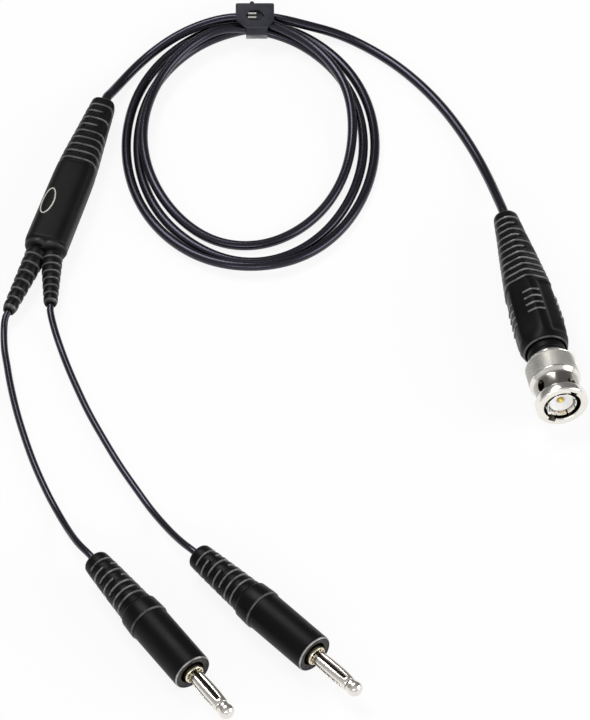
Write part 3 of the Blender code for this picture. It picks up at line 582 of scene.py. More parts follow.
# how both cables are laid: "mouth" is how far in front of a boot a run already points into it
coaxSetup = {
    "spacing": 1.6, "straight": 2.9, "mouth": 2.6, "buried": 24.0, "rounds": 12, "steady": 4,
    "floorGap": 0.03,
}
leadSetup = {
    "radius": 0.95, "spacing": 1.5, "mouth": 2.0, "straight": 2.2, "buriedInLeg": 8.0, "buriedInPlug": 12.0,
}
inBoot = 0.3    # both start that far inside their boots
# the runs from the coil to the splitter and the plug, and from the splitter to the banana plugs
runs = {
    "toSplitter": [
        (-31.1, 111.6, 4.15), (-33.8, 110.4, 3.2), (-36.5, 108.8, 2.2), (-39.2, 106.5, 1.6),
        (-42.2, 103.2, 1.4),
        (-46.3, 97.3, 1.6), (-49.1, 91.9, 3.0),
    ],
    "toPlug": [
        (9.4, 114.2, 2.5), (16.2, 111.4, 1.5), (25.2, 104.8, 1.4), (33.0, 96.8, 1.4), (40.2, 87.0, 1.4),
        (46.6, 75.2, 1.45), (51.3, 63.7, 1.9), (54.0, 54.2, 3.7),
    ],
    "left": [
        (-77.4, 8.8, 1.9), (-77.2, 3.0, 1.1), (-76.4, -2.9, 1.0), (-75.5, -9.1, 1.0), (-73.7, -18.5, 1.0),
        (-71.4, -27.8, 1.0), (-68.7, -37.0, 1.0), (-65.4, -46.2, 1.0), (-62.5, -53.2, 1.2),
        (-59.6, -60.3, 2.5),
        (-56.9, -66.6, 4.6),
    ],
    "right": [
        (-63.9, 8.8, 2.0), (-62.2, 3.0, 1.1), (-60.4, -2.9, 1.0), (-58.3, -9.1, 1.0), (-54.8, -18.5, 1.0),
        (-50.7, -27.8, 1.0), (-46.3, -37.0, 1.0), (-41.3, -46.2, 1.0), (-37.6, -52.8, 1.2),
        (-33.2, -60.5, 2.8),
        (-29.7, -66.2, 4.6),
    ],
}
legs = {
    "left": {"root": (51.0, -1.3, 0.0), "tip": (76.0, -3.2, -1.5)},
    "right": {"root": (51.0, 1.3, 0.0), "tip": (70.6, 6.9, -1.4)},
}


def through(points, at):
    # a smooth curve through points of (parameter, value, ...), read at one parameter
    last = len(points) - 2
    i = max(j for j in range(last + 1) if points[j][0] <= at or j == 0)
    low, high = points[i], points[i + 1]
    before, after = points[max(i - 1, 0)], points[min(i + 2, last + 1)]
    run = high[0] - low[0]
    t = (at - low[0]) / run
    found = []
    for k in range(1, len(low)):
        riseLow = (high[k] - before[k]) / (high[0] - before[0]) * run
        riseHigh = (after[k] - low[k]) / (after[0] - low[0]) * run
        found.append(
            (2 * t**3 - 3 * t**2 + 1) * low[k] + (t**3 - 2 * t**2 + t) * riseLow
            + (3 * t**2 - 2 * t**3) * high[k] + (t**3 - t**2) * riseHigh
        )
    return found


def smoothed(route, spacing):
    # points about that far apart on a smooth curve through the route's own
    keys = [(0.0, *route[0])]
    for near, far in zip(route, route[1:]):
        keys.append((keys[-1][0] + math.dist(near, far), *far))
    steps = max(round(keys[-1][0] / spacing), 2)
    return [tuple(through(keys, keys[-1][0] * i / steps)) for i in range(steps + 1)]


def eased(points, rounds, steady):
    # takes the corners out of a line and leaves its first and last few points where they are
    line = np.array(points)
    for _ in range(rounds):
        line[steady:-steady] += 0.25 * (
            line[steady - 1:-steady - 1] + line[steady + 1:-steady + 1] - 2 * line[steady:-steady]
        )
    return [tuple(point) for point in line.tolist()]


def coilPoint(setup, angle, inset, height):
    # that far round from the strap, and that far in from the line of the outermost turn
    turn = math.radians(angle)
    wide, deep = setup["halfWidth"], setup["halfDepth"]
    x, y = wide * math.sin(turn), deep * math.cos(turn)
    out = Vector((x / wide**2, y / deep**2)).normalized()
    return (
        setup["centre"][0] + x - inset * out.x + setup["shift"][0],
        setup["centre"][1] + y - inset * out.y + setup["shift"][1], height,
    )


def coilPath(setup):
    def passKey(number, angle):
        # under the strap each pass goes a quarter turn round in the bundle
        share = (angle + setup["twistHalf"]) / (2 * setup["twistHalf"])
        turn = math.radians(setup["bundlePhase"] - 90 * (number + share))
        inset = setup["bundleInset"] + setup["bundleRadius"] * math.cos(turn)
        return (360 * number + angle, inset, setup["bundleHeight"] + setup["bundleRadius"] * math.sin(turn))

    keys = [(-setup["overrun"], *setup["end"])]
    for number in range(setup["turns"] + 1):
        keys += [passKey(number, setup["twistHalf"] * share) for share in (-1, -0.5, 0, 0.5, 1)]
        if number < setup["turns"]:
            keys += [(360 * number + angle, inset, height) for angle, inset, height in turnKeys[number]]
    keys.append((360 * setup["turns"] + setup["overrun"], *setup["end"]))
    first, last = keys[0][0], keys[-1][0]
    steps = round((last - first) / setup["step"])
    angles = [first + (last - first) * i / steps for i in range(steps + 1)]
    return [coilPoint(setup, angle, *through(keys, angle)) for angle in angles]


def shifted(route):
    dx, dy = coilSetup["shift"]
    return [(x + dx, y + dy, z) for x, y, z in route]


def onAxis(place, along, side=0.0, up=0.0):
    return tuple((place @ (Vector((side, up, along)) * mm)) / mm)


def beyond(near, far, distance):
    near, far = Vector(near), Vector(far)
    return tuple(near + (near - far).normalized() * distance)


def tubeAlong(name, points, radius, around=14):
    # a closed round tube along the points
    curve = bpy.data.curves.new(name, "CURVE")
    curve.dimensions = "3D"
    curve.bevel_depth = radius * mm
    curve.bevel_resolution = (around - 4) // 2
    curve.use_fill_caps = True
    curve.twist_mode = "MINIMUM"
    spline = curve.splines.new("POLY")
    spline.points.add(len(points) - 1)
    for slot, point in zip(spline.points, points):
        slot.co = (*(Vector(point) * mm), 1.0)
    drawn = bpy.data.objects.new(name, curve)
    bpy.context.scene.collection.objects.link(drawn)
    pickOnly(drawn)
    bpy.ops.object.convert(target="MESH")
    return bpy.context.object


def lineLength(points):
    return sum(math.dist(near, far) for near, far in zip(points, points[1:]))


def makeCoax(setup):
    def run(coilEnd, coilNext, name, place):
        # carries on straight where the coil leaves off, and goes straight into the boot
        return smoothed([
            beyond(coilEnd, coilNext, setup["straight"]), *shifted(runs[name]),
            onAxis(place, -setup["mouth"]), onAxis(place, inBoot),
        ], setup["spacing"])

    coil = coilPath(coilSetup)
    toSplitter = run(coil[0], coil[1], "toSplitter", splitterPlace)
    toPlug = run(coil[-1], coil[-2], "toPlug", plugPlace)
    ends = onAxis(splitterPlace, setup["buried"]), onAxis(plugPlace, setup["buried"])
    line = eased([ends[0], *reversed(toSplitter), *coil, *toPlug, ends[1]], setup["rounds"], setup["steady"])
    lowest = coilSetup["radius"] + setup["floorGap"]
    line = [(x, y, max(z, lowest)) for x, y, z in line]
    return line, tubeAlong("coaxCord", line, coilSetup["radius"])


def legEnds(side):
    # root and tip in the splitter's own X, Y and Z
    return [Vector((aside, up, along)) for along, aside, up in (legs[side]["root"], legs[side]["tip"])]


def legPoint(side, beyondTip):
    root, tip = legEnds(side)
    point = tip + (tip - root).normalized() * beyondTip
    return onAxis(splitterPlace, point.z, point.x, point.y)


def makeLead(side, setup):
    place = bananaPlaces[side]
    line = smoothed([
        legPoint(side, inBoot), legPoint(side, setup["straight"]), *shifted(runs[side]),
        onAxis(place, -setup["mouth"]), onAxis(place, inBoot),
    ], setup["spacing"])
    line = [legPoint(side, -setup["buriedInLeg"]), *line, onAxis(place, setup["buriedInPlug"])]
    return line, tubeAlong(f"leadCord_{side}", line, setup["radius"], 12)


coaxLine, coaxCord = makeCoax(coaxSetup)
dress(coaxCord, cordJacket, "lead", (
    "coax_coil", "coax_lead_bnc", "coax_lead_splitter", "bnc_cable_jacket", "splitter_cable_jacket",
))
leadLines, leadCords = {}, {}
for side in bananaPlaces:
    leadLines[side], leadCords[side] = makeLead(side, leadSetup)
    dress(leadCords[side], cordJacket, "lead", (f"lead_{side}", f"banana_{side}_wire"))
leadLengths = [round(lineLength(line)) for line in leadLines.values()]
print(f"cords: coax {lineLength(coaxLine):.0f} mm, leads {leadLengths} mm")


# ribbed boots, which the plug, the splitter and the banana plugs share

# how a rib's front slopes, and how wide and how deep its painted highlight reaches
ribEdge = {"slope": 0.2, "highlightWidth": 0.14, "highlightDepth": 0.2}


def valuesAt(rule, along):
    return np.array([rule(at) for at in along])


def ribbedProfile(setup, half):
    # lands and grooves along a boot whose radius is half(along)
    profile = []
    for i in range(setup["ribs"]):
        start = setup["firstRib"] + i * setup["pitch"]
        front = start + setup["land"]
        groove = half(start + setup["grooveAt"]) - setup["depth"]
        profile += [(at, half(at)) for at in (start, front - ribEdge["slope"], front)]
        profile += [(front + setup["fall"], groove), (start + setup["pitch"] - setup["climb"], groove)]
    return profile


def ribFronts(setup, half, along, reach):
    # 1 along the front edge of each rib, where a highlight is painted
    cell = (along - setup["firstRib"]) / setup["pitch"]
    inside = (cell > 0) & (cell < setup["ribs"])
    near = np.abs((cell - np.floor(cell)) * setup["pitch"] - setup["land"]) < ribEdge["highlightWidth"]
    return np.where(inside & near & (reach > half - ribEdge["highlightDepth"]), 1.0, 0.0)


# bayonet plug: the boot

bootSetup = {
    "length": 49.8, "ribs": 11, "firstRib": 1.6, "pitch": 2.4, "land": 1.3, "depth": 0.85, "grooveAt": 2.0,
    "fall": 0.22, "climb": 0.22, "cableBore": 1.36, "sides": 96, "panelDepth": 0.3, "skin": 1.15,
    "roundFrom": 45.5, "roundTo": 49.6,
    "halfWidth": (
        (0.0, 2.9), (0.7, 3.3), (8.0, 4.1), (15.3, 4.95), (22.8, 5.75), (30.2, 6.45), (37.7, 6.75),
        (44.0, 6.93), (46.5, 6.8), (48.2, 6.45), (49.8, 6.0),
    ),
    "panel": {"from": 28.4, "to": 47.4, "rightEdge": 20.0, "leftEdge": 58.0, "underEdge": 128.0},
}


def bootHalf(along):
    return through(bootSetup["halfWidth"], min(max(along, 0.0), bootSetup["length"]))[0]


def roofFactor(theta, along):
    # how the boot's section departs from round: a low ridge on top and flatter flanks
    soft = 5 + 7 * np.clip(along / 30.0, 0.0, 1.0)
    total = 0.0
    for turn, far in (
        (29, 0.92), (-29, 0.92), (90, 1.0), (-90, 1.0), (151, 0.9212), (-151, 0.9212), (180, 0.94),
    ):
        total = total + np.maximum(np.cos(theta - math.radians(turn)) / far, 1e-9) ** soft
    return total ** (-1.0 / soft)


def bootWeb(along, theta):
    # the first odd grooves are filled on one side
    cell = (along - bootSetup["firstRib"]) / bootSetup["pitch"]
    filled = (cell > 0) & (cell < 6) & (np.floor(cell) % 2 == 1)
    return smoothStep(np.sin(theta), 0.34, 0.46) * filled


def bootRims(along, reach, theta):
    # painted highlights on the rib fronts, and a fainter one on the front lip
    ribs = ribFronts(bootSetup, valuesAt(bootHalf, along), along, reach) * (1 - bootWeb(along, theta))
    return np.maximum(ribs, 0.4 * ((along > 49.5) & (reach > 5.7)))


def bootRule(points):
    along = points[:, 2]
    reach, theta = polar(points)
    half = valuesAt(bootHalf, along)
    moved = reach + (half - reach) * bootWeb(along, theta)
    # the flanks are set in behind a rounded frame
    panel = bootSetup["panel"]
    turn = np.degrees(theta)
    near = np.where(turn > 0, turn - panel["rightEdge"], -turn - panel["leftEdge"])
    aside = np.minimum(near, panel["underEdge"] - np.abs(turn)) * half / math.degrees(1.0)
    edge = np.minimum(aside, np.minimum(along - panel["from"], panel["to"] - along))
    moved = moved - bootSetup["panelDepth"] * smoothStep(edge, 0.0, 0.6)
    # the front end runs out round
    roof = roofFactor(theta, along)
    moved = moved * (roof + (1 - roof) * smoothStep(along, bootSetup["roundFrom"], bootSetup["roundTo"]))
    return setPolar(points, np.where(reach > half - bootSetup["skin"], moved, reach), theta)


def makeBoot(setup):
    profile = [(0.0, setup["cableBore"]), (0.0, bootHalf(0.0)), (0.7, bootHalf(0.7))]
    profile += ribbedProfile(setup, bootHalf)
    profile += [(at, bootHalf(at)) for at in (*(28.0 + 0.5 * i for i in range(42)), 49.0, 49.55)]
    profile += [
        (49.8, 5.85), (49.8, 5.6), (47.3, 5.6), (47.3, 4.4), (38.0, 4.4), (38.0, 3.2), (22.0, 3.2),
        (22.0, setup["cableBore"]),
    ]
    boot = turnProfile("plugBoot", profile, setup["sides"], 0.13, closed=True)
    markRims(boot, bootRims)
    moveVertices(boot, bootRule)
    return settle(boot, plugPlace)


dress(makeBoot(bootSetup), bootPlastic, "lead", ("bnc_boot",))

# low bars on the boot, each across its spine or a flank as (middle, half of its turn)
gripSetup = {
    "rows": (32.6, 35.0, 37.4, 39.8), "width": 0.95, "height": 0.3, "spine": (-3.5, 21.5),
    "flanks": ((82.0, 24.0), (-82.0, 24.0)), "flankLag": 1.6, "flankHeight": 0.1, "flankSunk": 0.12,
}


def gripBar(name, along, middle, half, rise, sunk):
    reach = bootHalf(along)
    wide = gripSetup["width"] / 2
    profile = [
        (along - wide, reach - 0.9), (along + wide, reach - 0.9),
        (along + wide * 0.5, reach + rise), (along - wide * 0.7, reach + rise),
    ]
    bar = turnProfile(name, profile, 14, 0.1, closed=True, sweep=2 * half)
    markRims(bar, lambda at, far, theta: (at > along + 0.05) & (far > reach + rise - 0.15))
    turnTo(bar, middle)

    def rule(points):
        far, theta = polar(points)
        return setPolar(points, far * roofFactor(theta, points[:, 2]) - sunk, theta)

    moveVertices(bar, rule)
    return bar


def makeGrips(setup):
    bars = []
    for i, along in enumerate(setup["rows"]):
        bars.append(gripBar(f"grip_{i}", along, *setup["spine"], setup["height"], 0.0))
        for middle, half in setup["flanks"]:
            bars.append(gripBar(
                f"nub_{i}_{middle:.0f}", along + setup["flankLag"], middle, half, setup["flankHeight"],
                setup["flankSunk"],
            ))
    grips = joined(*bars)
    grips.name = "plugBootGrips"
    return settle(grips, plugPlace)


dress(makeGrips(gripSetup), bootPlastic, "lead")
print("plug boot made")


# bayonet plug: the nut

nutSetup = {
    "sides": 96, "knurlRadius": 7.0, "knurlFrom": 55.15, "knurlTo": 60.65, "teeth": 80, "knurlRows": 10,
    "toothDepth": 0.18, "holeRadius": 1.25,
    # each hole as (turn, along, stretch)
    "holes": ((-52, 64.4, 1.45), (34, 66.0, 1.1), (128, 64.4, 1.45), (214, 66.0, 1.1)),
    "lugs": (213, 33), "lugReach": 4.85, "lugAlong": 68.8, "lugSize": (2.2, 1.7, 3.6),
    "waist": (61.6, 62.4, 66.1, 66.9), "waistShade": 0.6,
}


def outward(degrees):
    angle = math.radians(degrees)
    return Vector((math.sin(angle), math.cos(angle), 0.0))


def holeCutter(setup, turn, along, stretch, number, flare, far, depth):
    deselectAll()
    bpy.ops.mesh.primitive_cone_add(
        vertices=32, radius1=setup["holeRadius"] * mm, radius2=(setup["holeRadius"] + flare) * mm,
        depth=depth * mm, location=(outward(turn) * far + Vector((0.0, 0.0, along))) * mm,
        rotation=outward(turn).to_track_quat("Z", "Y").to_euler(),
    )
    cutter = bpy.context.object
    cutter.name = f"lockHole_{turn}_{number}"
    bpy.ops.object.transform_apply(location=False, rotation=True, scale=False)
    cutter.scale = (1.0, 1.0, stretch)
    return cutter


def nutShade(along, reach, theta):
    # painted shade: the bore and the walls of the holes are dark, and the waist is painted darker than its
    # shoulders
    start, full, fade, end = nutSetup["waist"]
    waist = smoothStep(along, start, full) * (1 - smoothStep(along, fade, end))
    return ((along > 69.4) | (reach > 5.75)) * (1 - nutSetup["waistShade"] * waist)


def makeNut(setup):
    low = setup["knurlRadius"] - 0.22
    profile = [
        (54.3, 4.4), (54.3, 6.15), (54.85, 6.85), (55.1, 6.95), (55.2, low), (60.6, low), (60.7, 6.95),
        (60.95, 6.9), (61.25, 6.7), (61.75, 6.25), (62.15, 6.06), (62.8, 6.0), (65.9, 6.0), (66.4, 6.1),
        (66.8, 6.4), (67.15, 6.85), (67.5, 7.05), (69.35, 7.05), (69.7, 6.75), (69.7, 5.2), (69.45, 4.95),
        (60.3, 4.95), (60.3, 5.6), (56.4, 5.6), (56.4, 4.4),
    ]
    nut = turnProfile("couplingNut", profile, setup["sides"], 0.12, closed=True)
    cutters = []
    for turn, along, stretch in setup["holes"]:
        # the hole itself, then its flared mouth
        cutters.append(holeCutter(setup, turn, along, stretch, 0, 0.0, 5.5, 3.4))
        cutters.append(holeCutter(setup, turn, along, stretch, 1, 0.55, 6.5, 0.8))
    for turn in setup["lugs"]:
        middle = outward(turn) * setup["lugReach"] + Vector((0.0, 0.0, setup["lugAlong"]))
        cutters.append(boxCutter(f"lugNotch_{turn}", middle, setup["lugSize"], -math.radians(turn)))
    cutWith(nut, cutters)
    markRims(nut, nutShade, "ridge")
    return settle(nut, plugPlace)


def knurlRidge(along, reach, theta):
    # two sets of crossing helical grooves; 1 on the crests, 0 in the grooves, where the finish also paints
    # shade
    first, last = nutSetup["knurlFrom"], nutSetup["knurlTo"]
    u = theta * nutSetup["teeth"] / math.tau
    v = (along - first) / (last - first) * nutSetup["knurlRows"]
    ridge = np.minimum(np.abs((u + v) % 1.0 - 0.5), np.abs((u - v) % 1.0 - 0.5)) * 2
    return ridge * smoothStep(np.minimum(along - first, last - along), 0.0, 0.25)


def makeKnurl(setup):
    rows = setup["knurlRows"] * 4
    first, last = setup["knurlFrom"], setup["knurlTo"]
    low = setup["knurlRadius"] - 0.35
    profile = [(first, low)]
    profile += [(first + (last - first) * i / rows, setup["knurlRadius"]) for i in range(rows + 1)]
    profile.append((last, low))
    band = turnProfile("nutKnurl", profile, setup["teeth"] * 4, closed=True)
    markRims(band, knurlRidge, "ridge")

    def rule(points):
        reach, theta = polar(points)
        sunk = setup["toothDepth"] * (1 - knurlRidge(points[:, 2], reach, theta))
        return setPolar(points, np.where(reach > setup["knurlRadius"] - 0.1, reach - sunk, reach), theta)

    moveVertices(band, rule)
    return settle(band, plugPlace)


dress(makeNut(nutSetup), nutNickel, "coupling_nut", ("bnc_coupling_nut",))
dress(makeKnurl(nutSetup), knurlNickel, "coupling_nut", smooth=40)
print("coupling nut made")


# bayonet plug: contact ring, insulator, pin and neck

frontSetup = {
    "cuts": 4, "slotSize": (12, 0.42, 6.6), "slotAlong": 67.1,    # each cut makes two slots
    "ringRadius": 4.1, "ringWall": 0.45, "pinRadius": 0.7,
}


def makeContactRing(setup):
    out, wall = setup["ringRadius"], setup["ringWall"]
    profile = [(60.3, out - wall), (60.3, out), (68.6, out), (69.15, out - 0.12), (69.2, out - wall)]
    ring = turnProfile("contactRing", profile, 96, 0.08, closed=True)
    middle = (0.0, 0.0, setup["slotAlong"])
    turns = [math.radians(22.5 + 45 * i) for i in range(setup["cuts"])]
    cutWith(ring, [
        boxCutter(f"contactSlot_{i}", middle, setup["slotSize"], turn) for i, turn in enumerate(turns)
    ])
    return settle(ring, plugPlace)


def makeInsulator():
    profile = [
        (44.3, 1.3), (44.3, 2.2), (62.3, 2.2), (62.3, 3.3), (68.05, 3.3), (68.25, 3.1), (68.15, 2.7),
        (67.5, 1.6),
        (67.2, 1.02), (50.3, 1.0), (50.3, 1.3),
    ]
    return settle(turnProfile("frontInsulator", profile, 72, 0.12, closed=True), plugPlace)


def makePin(setup):
    wide = setup["pinRadius"]
    profile = [
        (43.7, 0.0), (43.7, 0.95), (50.0, 0.95), (50.0, wide), (67.3, wide), (67.85, wide * 0.62),
        (68.0, wide * 0.3), (68.0, 0.0),
    ]
    return settle(turnProfile("centrePin", profile, 36, 0.06), plugPlace)


def makeNeckShade():
    # a black sleeve between the boot and the nut, painted shade where the metal neck lies in the boot's
    # shadow
    profile = [(47.5, 4.02), (47.5, 5.2), (51.6, 5.2), (52.0, 4.95), (52.9, 4.9), (53.0, 4.7), (53.0, 4.02)]
    return settle(turnProfile("neckShadeSleeve", profile, 72, 0.12, closed=True), plugPlace)


def makeRearCollar():
    # a bright collar behind the nut, which turns with it
    profile = [(53.15, 4.4), (53.15, 5.45), (53.35, 5.6), (54.2, 5.6), (54.2, 4.4)]
    return settle(turnProfile("nutRearCollar", profile, 72, 0.08, closed=True), plugPlace)


dress(makeContactRing(frontSetup), plugNickel, "lead", ("bnc_outer_contact",))
dress(makeInsulator(), ptfeWhite, "lead", ("bnc_insulator",))
dress(makePin(frontSetup), pinGold, "lead", ("bnc_center_pin",))
dress(makeNeckShade(), bootPlastic, "lead")
dress(makeRearCollar(), plugNickel, "coupling_nut")
print("plug front made")


# splitter

splitterSetup = {
    "length": 54.7, "ribs": 9, "firstRib": 1.4, "pitch": 2.6, "land": 1.5, "depth": 0.8, "grooveAt": 2.1,
    "fall": 0.24, "climb": 0.24, "cableBore": 1.36, "sides": 96, "skin": 1.1, "endFrom": 52.9,
    "endRadius": 5.75,
    "wide": (
        (0.0, 2.8), (0.6, 3.2), (7.9, 3.9), (13.4, 4.4), (18.9, 4.95), (24.4, 5.4), (29.9, 5.6), (41.0, 5.75),
        (51.0, 5.85), (53.8, 5.7), (54.7, 5.2),
    ),
    "high": ((0.0, 2.7), (0.6, 3.1), (13.4, 4.0), (24.4, 4.5), (30.0, 4.6), (53.0, 4.6), (54.7, 4.1)),
    "highest": 4.6,
}


def splitterWide(along):
    return through(splitterSetup["wide"], min(max(along, 0.0), splitterSetup["length"]))[0]


def splitterHigh(along):
    made = through(splitterSetup["high"], min(max(along, 0.0), splitterSetup["length"]))[0]
    return min(made, splitterSetup["highest"])


def slabReach(theta, wide, high):
    # how far a section with eight soft sides reaches in each direction
    corner = 0.575 * (wide + high)
    total = 0.0
    for i in range(8):
        far = (high, corner, wide, corner)[i % 4]
        total = total + np.maximum(np.cos(theta - math.radians(45 * i)) / far, 1e-9) ** 9
    return total ** (-1.0 / 9)


def splitterWeb(along, theta):
    # two of the first grooves are filled on one side
    cell = (along - splitterSetup["firstRib"]) / splitterSetup["pitch"]
    filled = (cell > 0) & (cell < 5) & (np.floor(cell) % 2 == 1)
    return smoothStep(np.sin(theta), 0.28, 0.4) * filled


def splitterRims(along, reach, theta):
    # painted highlights on the rib fronts
    fronts = ribFronts(splitterSetup, valuesAt(splitterWide, along), along, reach)
    return 0.8 * fronts * (1 - splitterWeb(along, theta))


def splitterRule(points):
    along = points[:, 2]
    reach, theta = polar(points)
    wide, high = valuesAt(splitterWide, along), valuesAt(splitterHigh, along)
    end = along > splitterSetup["endFrom"]
    outer = reach > np.where(end, -1.0, wide - splitterSetup["skin"])
    setIn = np.where(end, 0.0, wide - reach) * (1 - splitterWeb(along, theta))
    share = np.where(end, reach / splitterSetup["endRadius"], 1.0)
    made = slabReach(theta, wide - setIn, high - setIn) * share
    points = setPolar(points, np.where(outer, made, reach), theta)
    # flat on top and below
    points[:, 1] = np.clip(points[:, 1], -(high - np.minimum(setIn, 1.0)) - 0.001, high)
    return points


def makeSplitterBody(setup):
    profile = [(20.0, 0.0), (20.0, setup["cableBore"]), (0.0, setup["cableBore"])]
    profile += [(0.0, splitterWide(0.0)), (0.6, splitterWide(0.6))]
    profile += ribbedProfile(setup, splitterWide)
    profile += [(25.0 + i, splitterWide(25.0 + i)) for i in range(28)]
    profile += [(52.8, 5.8), (53.3, 5.35), (53.6, 4.7), (53.7, 3.6), (53.7, 0.0)]
    body = turnProfile("splitterBody", profile, setup["sides"], 0.15)
    markRims(body, splitterRims)
    moveVertices(body, splitterRule)
    return settle(body, splitterPlace)


# the rib fronts carry a painted highlight of the given width and strength, and the bell's edge a fainter one
legSetup = {
    "ribs": 7, "bell": 4.5, "rootRadius": 3.3, "tipRadius": 1.8, "land": 0.6, "depth": 0.45, "bore": 1.02,
    "boreDepth": 6.0, "highlightWidth": 0.13, "light": 0.55, "bellEdge": 2.9, "bellHighlight": 0.15,
}


def makeLegSleeve(side, setup):
    root, tip = legEnds(side)
    length = (tip - root).length
    pitch = (length - setup["bell"]) / setup["ribs"]
    starts = [setup["bell"] + i * pitch for i in reversed(range(setup["ribs"]))]
    fronts = [start + setup["land"] * pitch for start in starts]
    profile = [
        (length - setup["boreDepth"], 0.0), (length - setup["boreDepth"], setup["bore"]),
        (length, setup["bore"]), (length, 1.5),
    ]
    for start, front in zip(starts, fronts):
        taper = (start + 0.25 * pitch) / length
        radius = setup["rootRadius"] + (setup["tipRadius"] - setup["rootRadius"]) * taper
        groove = radius - setup["depth"]
        profile += [
            (front, radius - 0.04), (front - 0.3, radius + 0.02), (start, radius + 0.04),
            (start - 0.1 * pitch, groove), (start - 0.26 * pitch, groove),
        ]
    # the root swells into a bell almost as high as the body
    profile += [(3.6, 3.55), (setup["bellEdge"], 4.1), (1.9, 4.22), (0.2, 4.2), (-0.4, 3.0), (-0.4, 0.0)]
    sleeve = turnProfile(f"legSleeve_{side}", profile, 64, 0.16, segments=3)

    # painted highlights on the rib fronts and the bell's edge
    def rims(along, reach, theta):
        near = np.min([np.abs(along - front) for front in fronts], axis=0)
        bell = (np.abs(along - setup["bellEdge"]) < 0.3) & (reach > 3.8)
        return np.maximum(
            setup["light"] * ((near < setup["highlightWidth"]) & (reach > 1.6)), setup["bellHighlight"] * bell,
        )

    markRims(sleeve, rims)
    return settle(sleeve, splitterPlace @ placeAlong(root, tip))


def placeAlong(root, tip):
    # a turn and a shift that carry Z onto the line from root to tip
    turn = (tip - root).to_track_quat("Z", "Y").to_matrix().to_4x4()
    return Matrix.Translation(root * mm) @ turn


badgeSetup = {
    "middle": 40.4, "halfLength": 4.5, "halfWidth": 1.6, "turn": -36.0, "power": 1.8, "rimRadius": 0.2,
    "flatness": 0.7, "lift": 0.02, "bend": 5.2,
}


def makeBadge(setup):
    # a bare oval rim where a maker's sign would be, bent onto the body
    deselectAll()
    bpy.ops.mesh.primitive_torus_add(
        major_segments=72, minor_segments=10, major_radius=mm, minor_radius=setup["rimRadius"] * mm,
    )
    badge = bpy.context.object
    badge.name = "splitterBadge"

    def rule(points):
        turn = np.arctan2(points[:, 1], points[:, 0])
        out = np.hypot(points[:, 0], points[:, 1]) - 1.0
        power = setup["power"]
        square = (np.abs(np.cos(turn)) ** power + np.abs(np.sin(turn)) ** power) ** (-1 / power)
        along = setup["middle"] + (setup["halfLength"] + out) * np.cos(turn) * square
        aside = (setup["halfWidth"] + out) * np.sin(turn) * square
        theta = math.radians(setup["turn"]) + aside / setup["bend"]
        section = slabReach(theta, splitterWide(setup["middle"]), splitterHigh(setup["middle"]))
        reach = section + setup["lift"] + points[:, 2] * setup["flatness"]
        return np.column_stack((reach * np.sin(theta), reach * np.cos(theta), along))

    moveVertices(badge, rule)
    return settle(badge, splitterPlace)


dress(makeSplitterBody(splitterSetup), splitterPlastic, "lead", ("splitter_overmould",))
for side in legs:
    dress(makeLegSleeve(side, legSetup), splitterPlastic, "lead")
dress(makeBadge(badgeSetup), badgePaint, "lead")
print("splitter made")


# banana plugs

bananaSetup = {
    "sides": 72, "ribs": 7, "firstRib": 1.7, "pitch": 2.4, "land": 1.35, "depth": 0.7, "grooveAt": 2.0,
    "fall": 0.25, "climb": 0.22, "radius": ((0.0, 3.1), (0.6, 3.5), (10.0, 4.25), (20.0, 4.85)),
    "barrelRadius": 5.4, "bore": 3.4,
}


def bananaHalf(along):
    return through(bananaSetup["radius"], min(max(along, 0.0), 20.0))[0]


def makeBananaBoot(side, setup):
    profile = [(0.0, 1.0), (0.0, bananaHalf(0.0)), (0.6, bananaHalf(0.6)), *ribbedProfile(setup, bananaHalf)]
    # the collar, then back along the bores
    profile += [
        (18.5, 4.8), (19.9, 4.85), (20.4, 5.4), (22.5, 5.55), (24.8, 5.72), (25.3, 5.7), (25.3, 4.2),
        (19.0, 4.2),
        (19.0, 2.1), (15.2, 2.1), (15.2, 1.0),
    ]
    boot = turnProfile(f"bananaBoot_{side}", profile, setup["sides"], 0.13, closed=True)

    def web(along, theta):
        # the first grooves are bridged on top and below and on the flanks by turns
        cell = (along - setup["firstRib"]) / setup["pitch"]
        facing = np.where(np.floor(cell) % 2 == 1, np.abs(np.cos(theta)), np.abs(np.sin(theta)))
        return smoothStep(facing, 0.93, 0.965) * ((cell > 0) & (cell < 5))

    # painted highlights on the rib fronts and on the collar's front edge
    def rims(along, reach, theta):
        ribs = ribFronts(setup, valuesAt(bananaHalf, along), along, reach) * (1 - web(along, theta))
        return np.maximum(ribs, 0.6 * ((along > 24.95) & (reach > 5.5)))

    def rule(points):
        along = points[:, 2]
        reach, theta = polar(points)
        half = valuesAt(bananaHalf, along)
        bridged = (reach > half - 1.0) & (reach < half)
        return setPolar(points, reach + (half - reach) * web(along, theta) * bridged, theta)

    markRims(boot, rims)
    moveVertices(boot, rule)
    return settle(boot, bananaPlaces[side])


def makeBarrel(side, setup):
    wide, bore = setup["barrelRadius"], setup["bore"]
    profile = [
        (25.45, 4.2), (25.45, wide - 0.1), (25.6, wide), (44.4, wide), (44.9, wide), (45.15, wide - 0.08),
        (45.38, wide - 0.28), (45.4, wide - 0.45), (45.4, wide - 0.6), (45.3, wide - 0.8), (45.2, 4.1),
        (45.15, bore + 0.2), (44.9, bore), (42.8, bore), (42.8, 4.2),
    ]
    barrel = turnProfile(f"bananaBarrel_{side}", profile, 96, 0.06, closed=True)

    def rims(along, reach, theta):
        # a highlight is painted on the front edge, and the face inside it is painted faintly lighter
        face = 0.09 * ((along > 45.1) & (reach < 4.75) & (reach > 3.5))
        return np.maximum((along > 45.1) & (reach > wide - 0.3), face)

    markRims(barrel, rims)
    return settle(barrel, bananaPlaces[side])


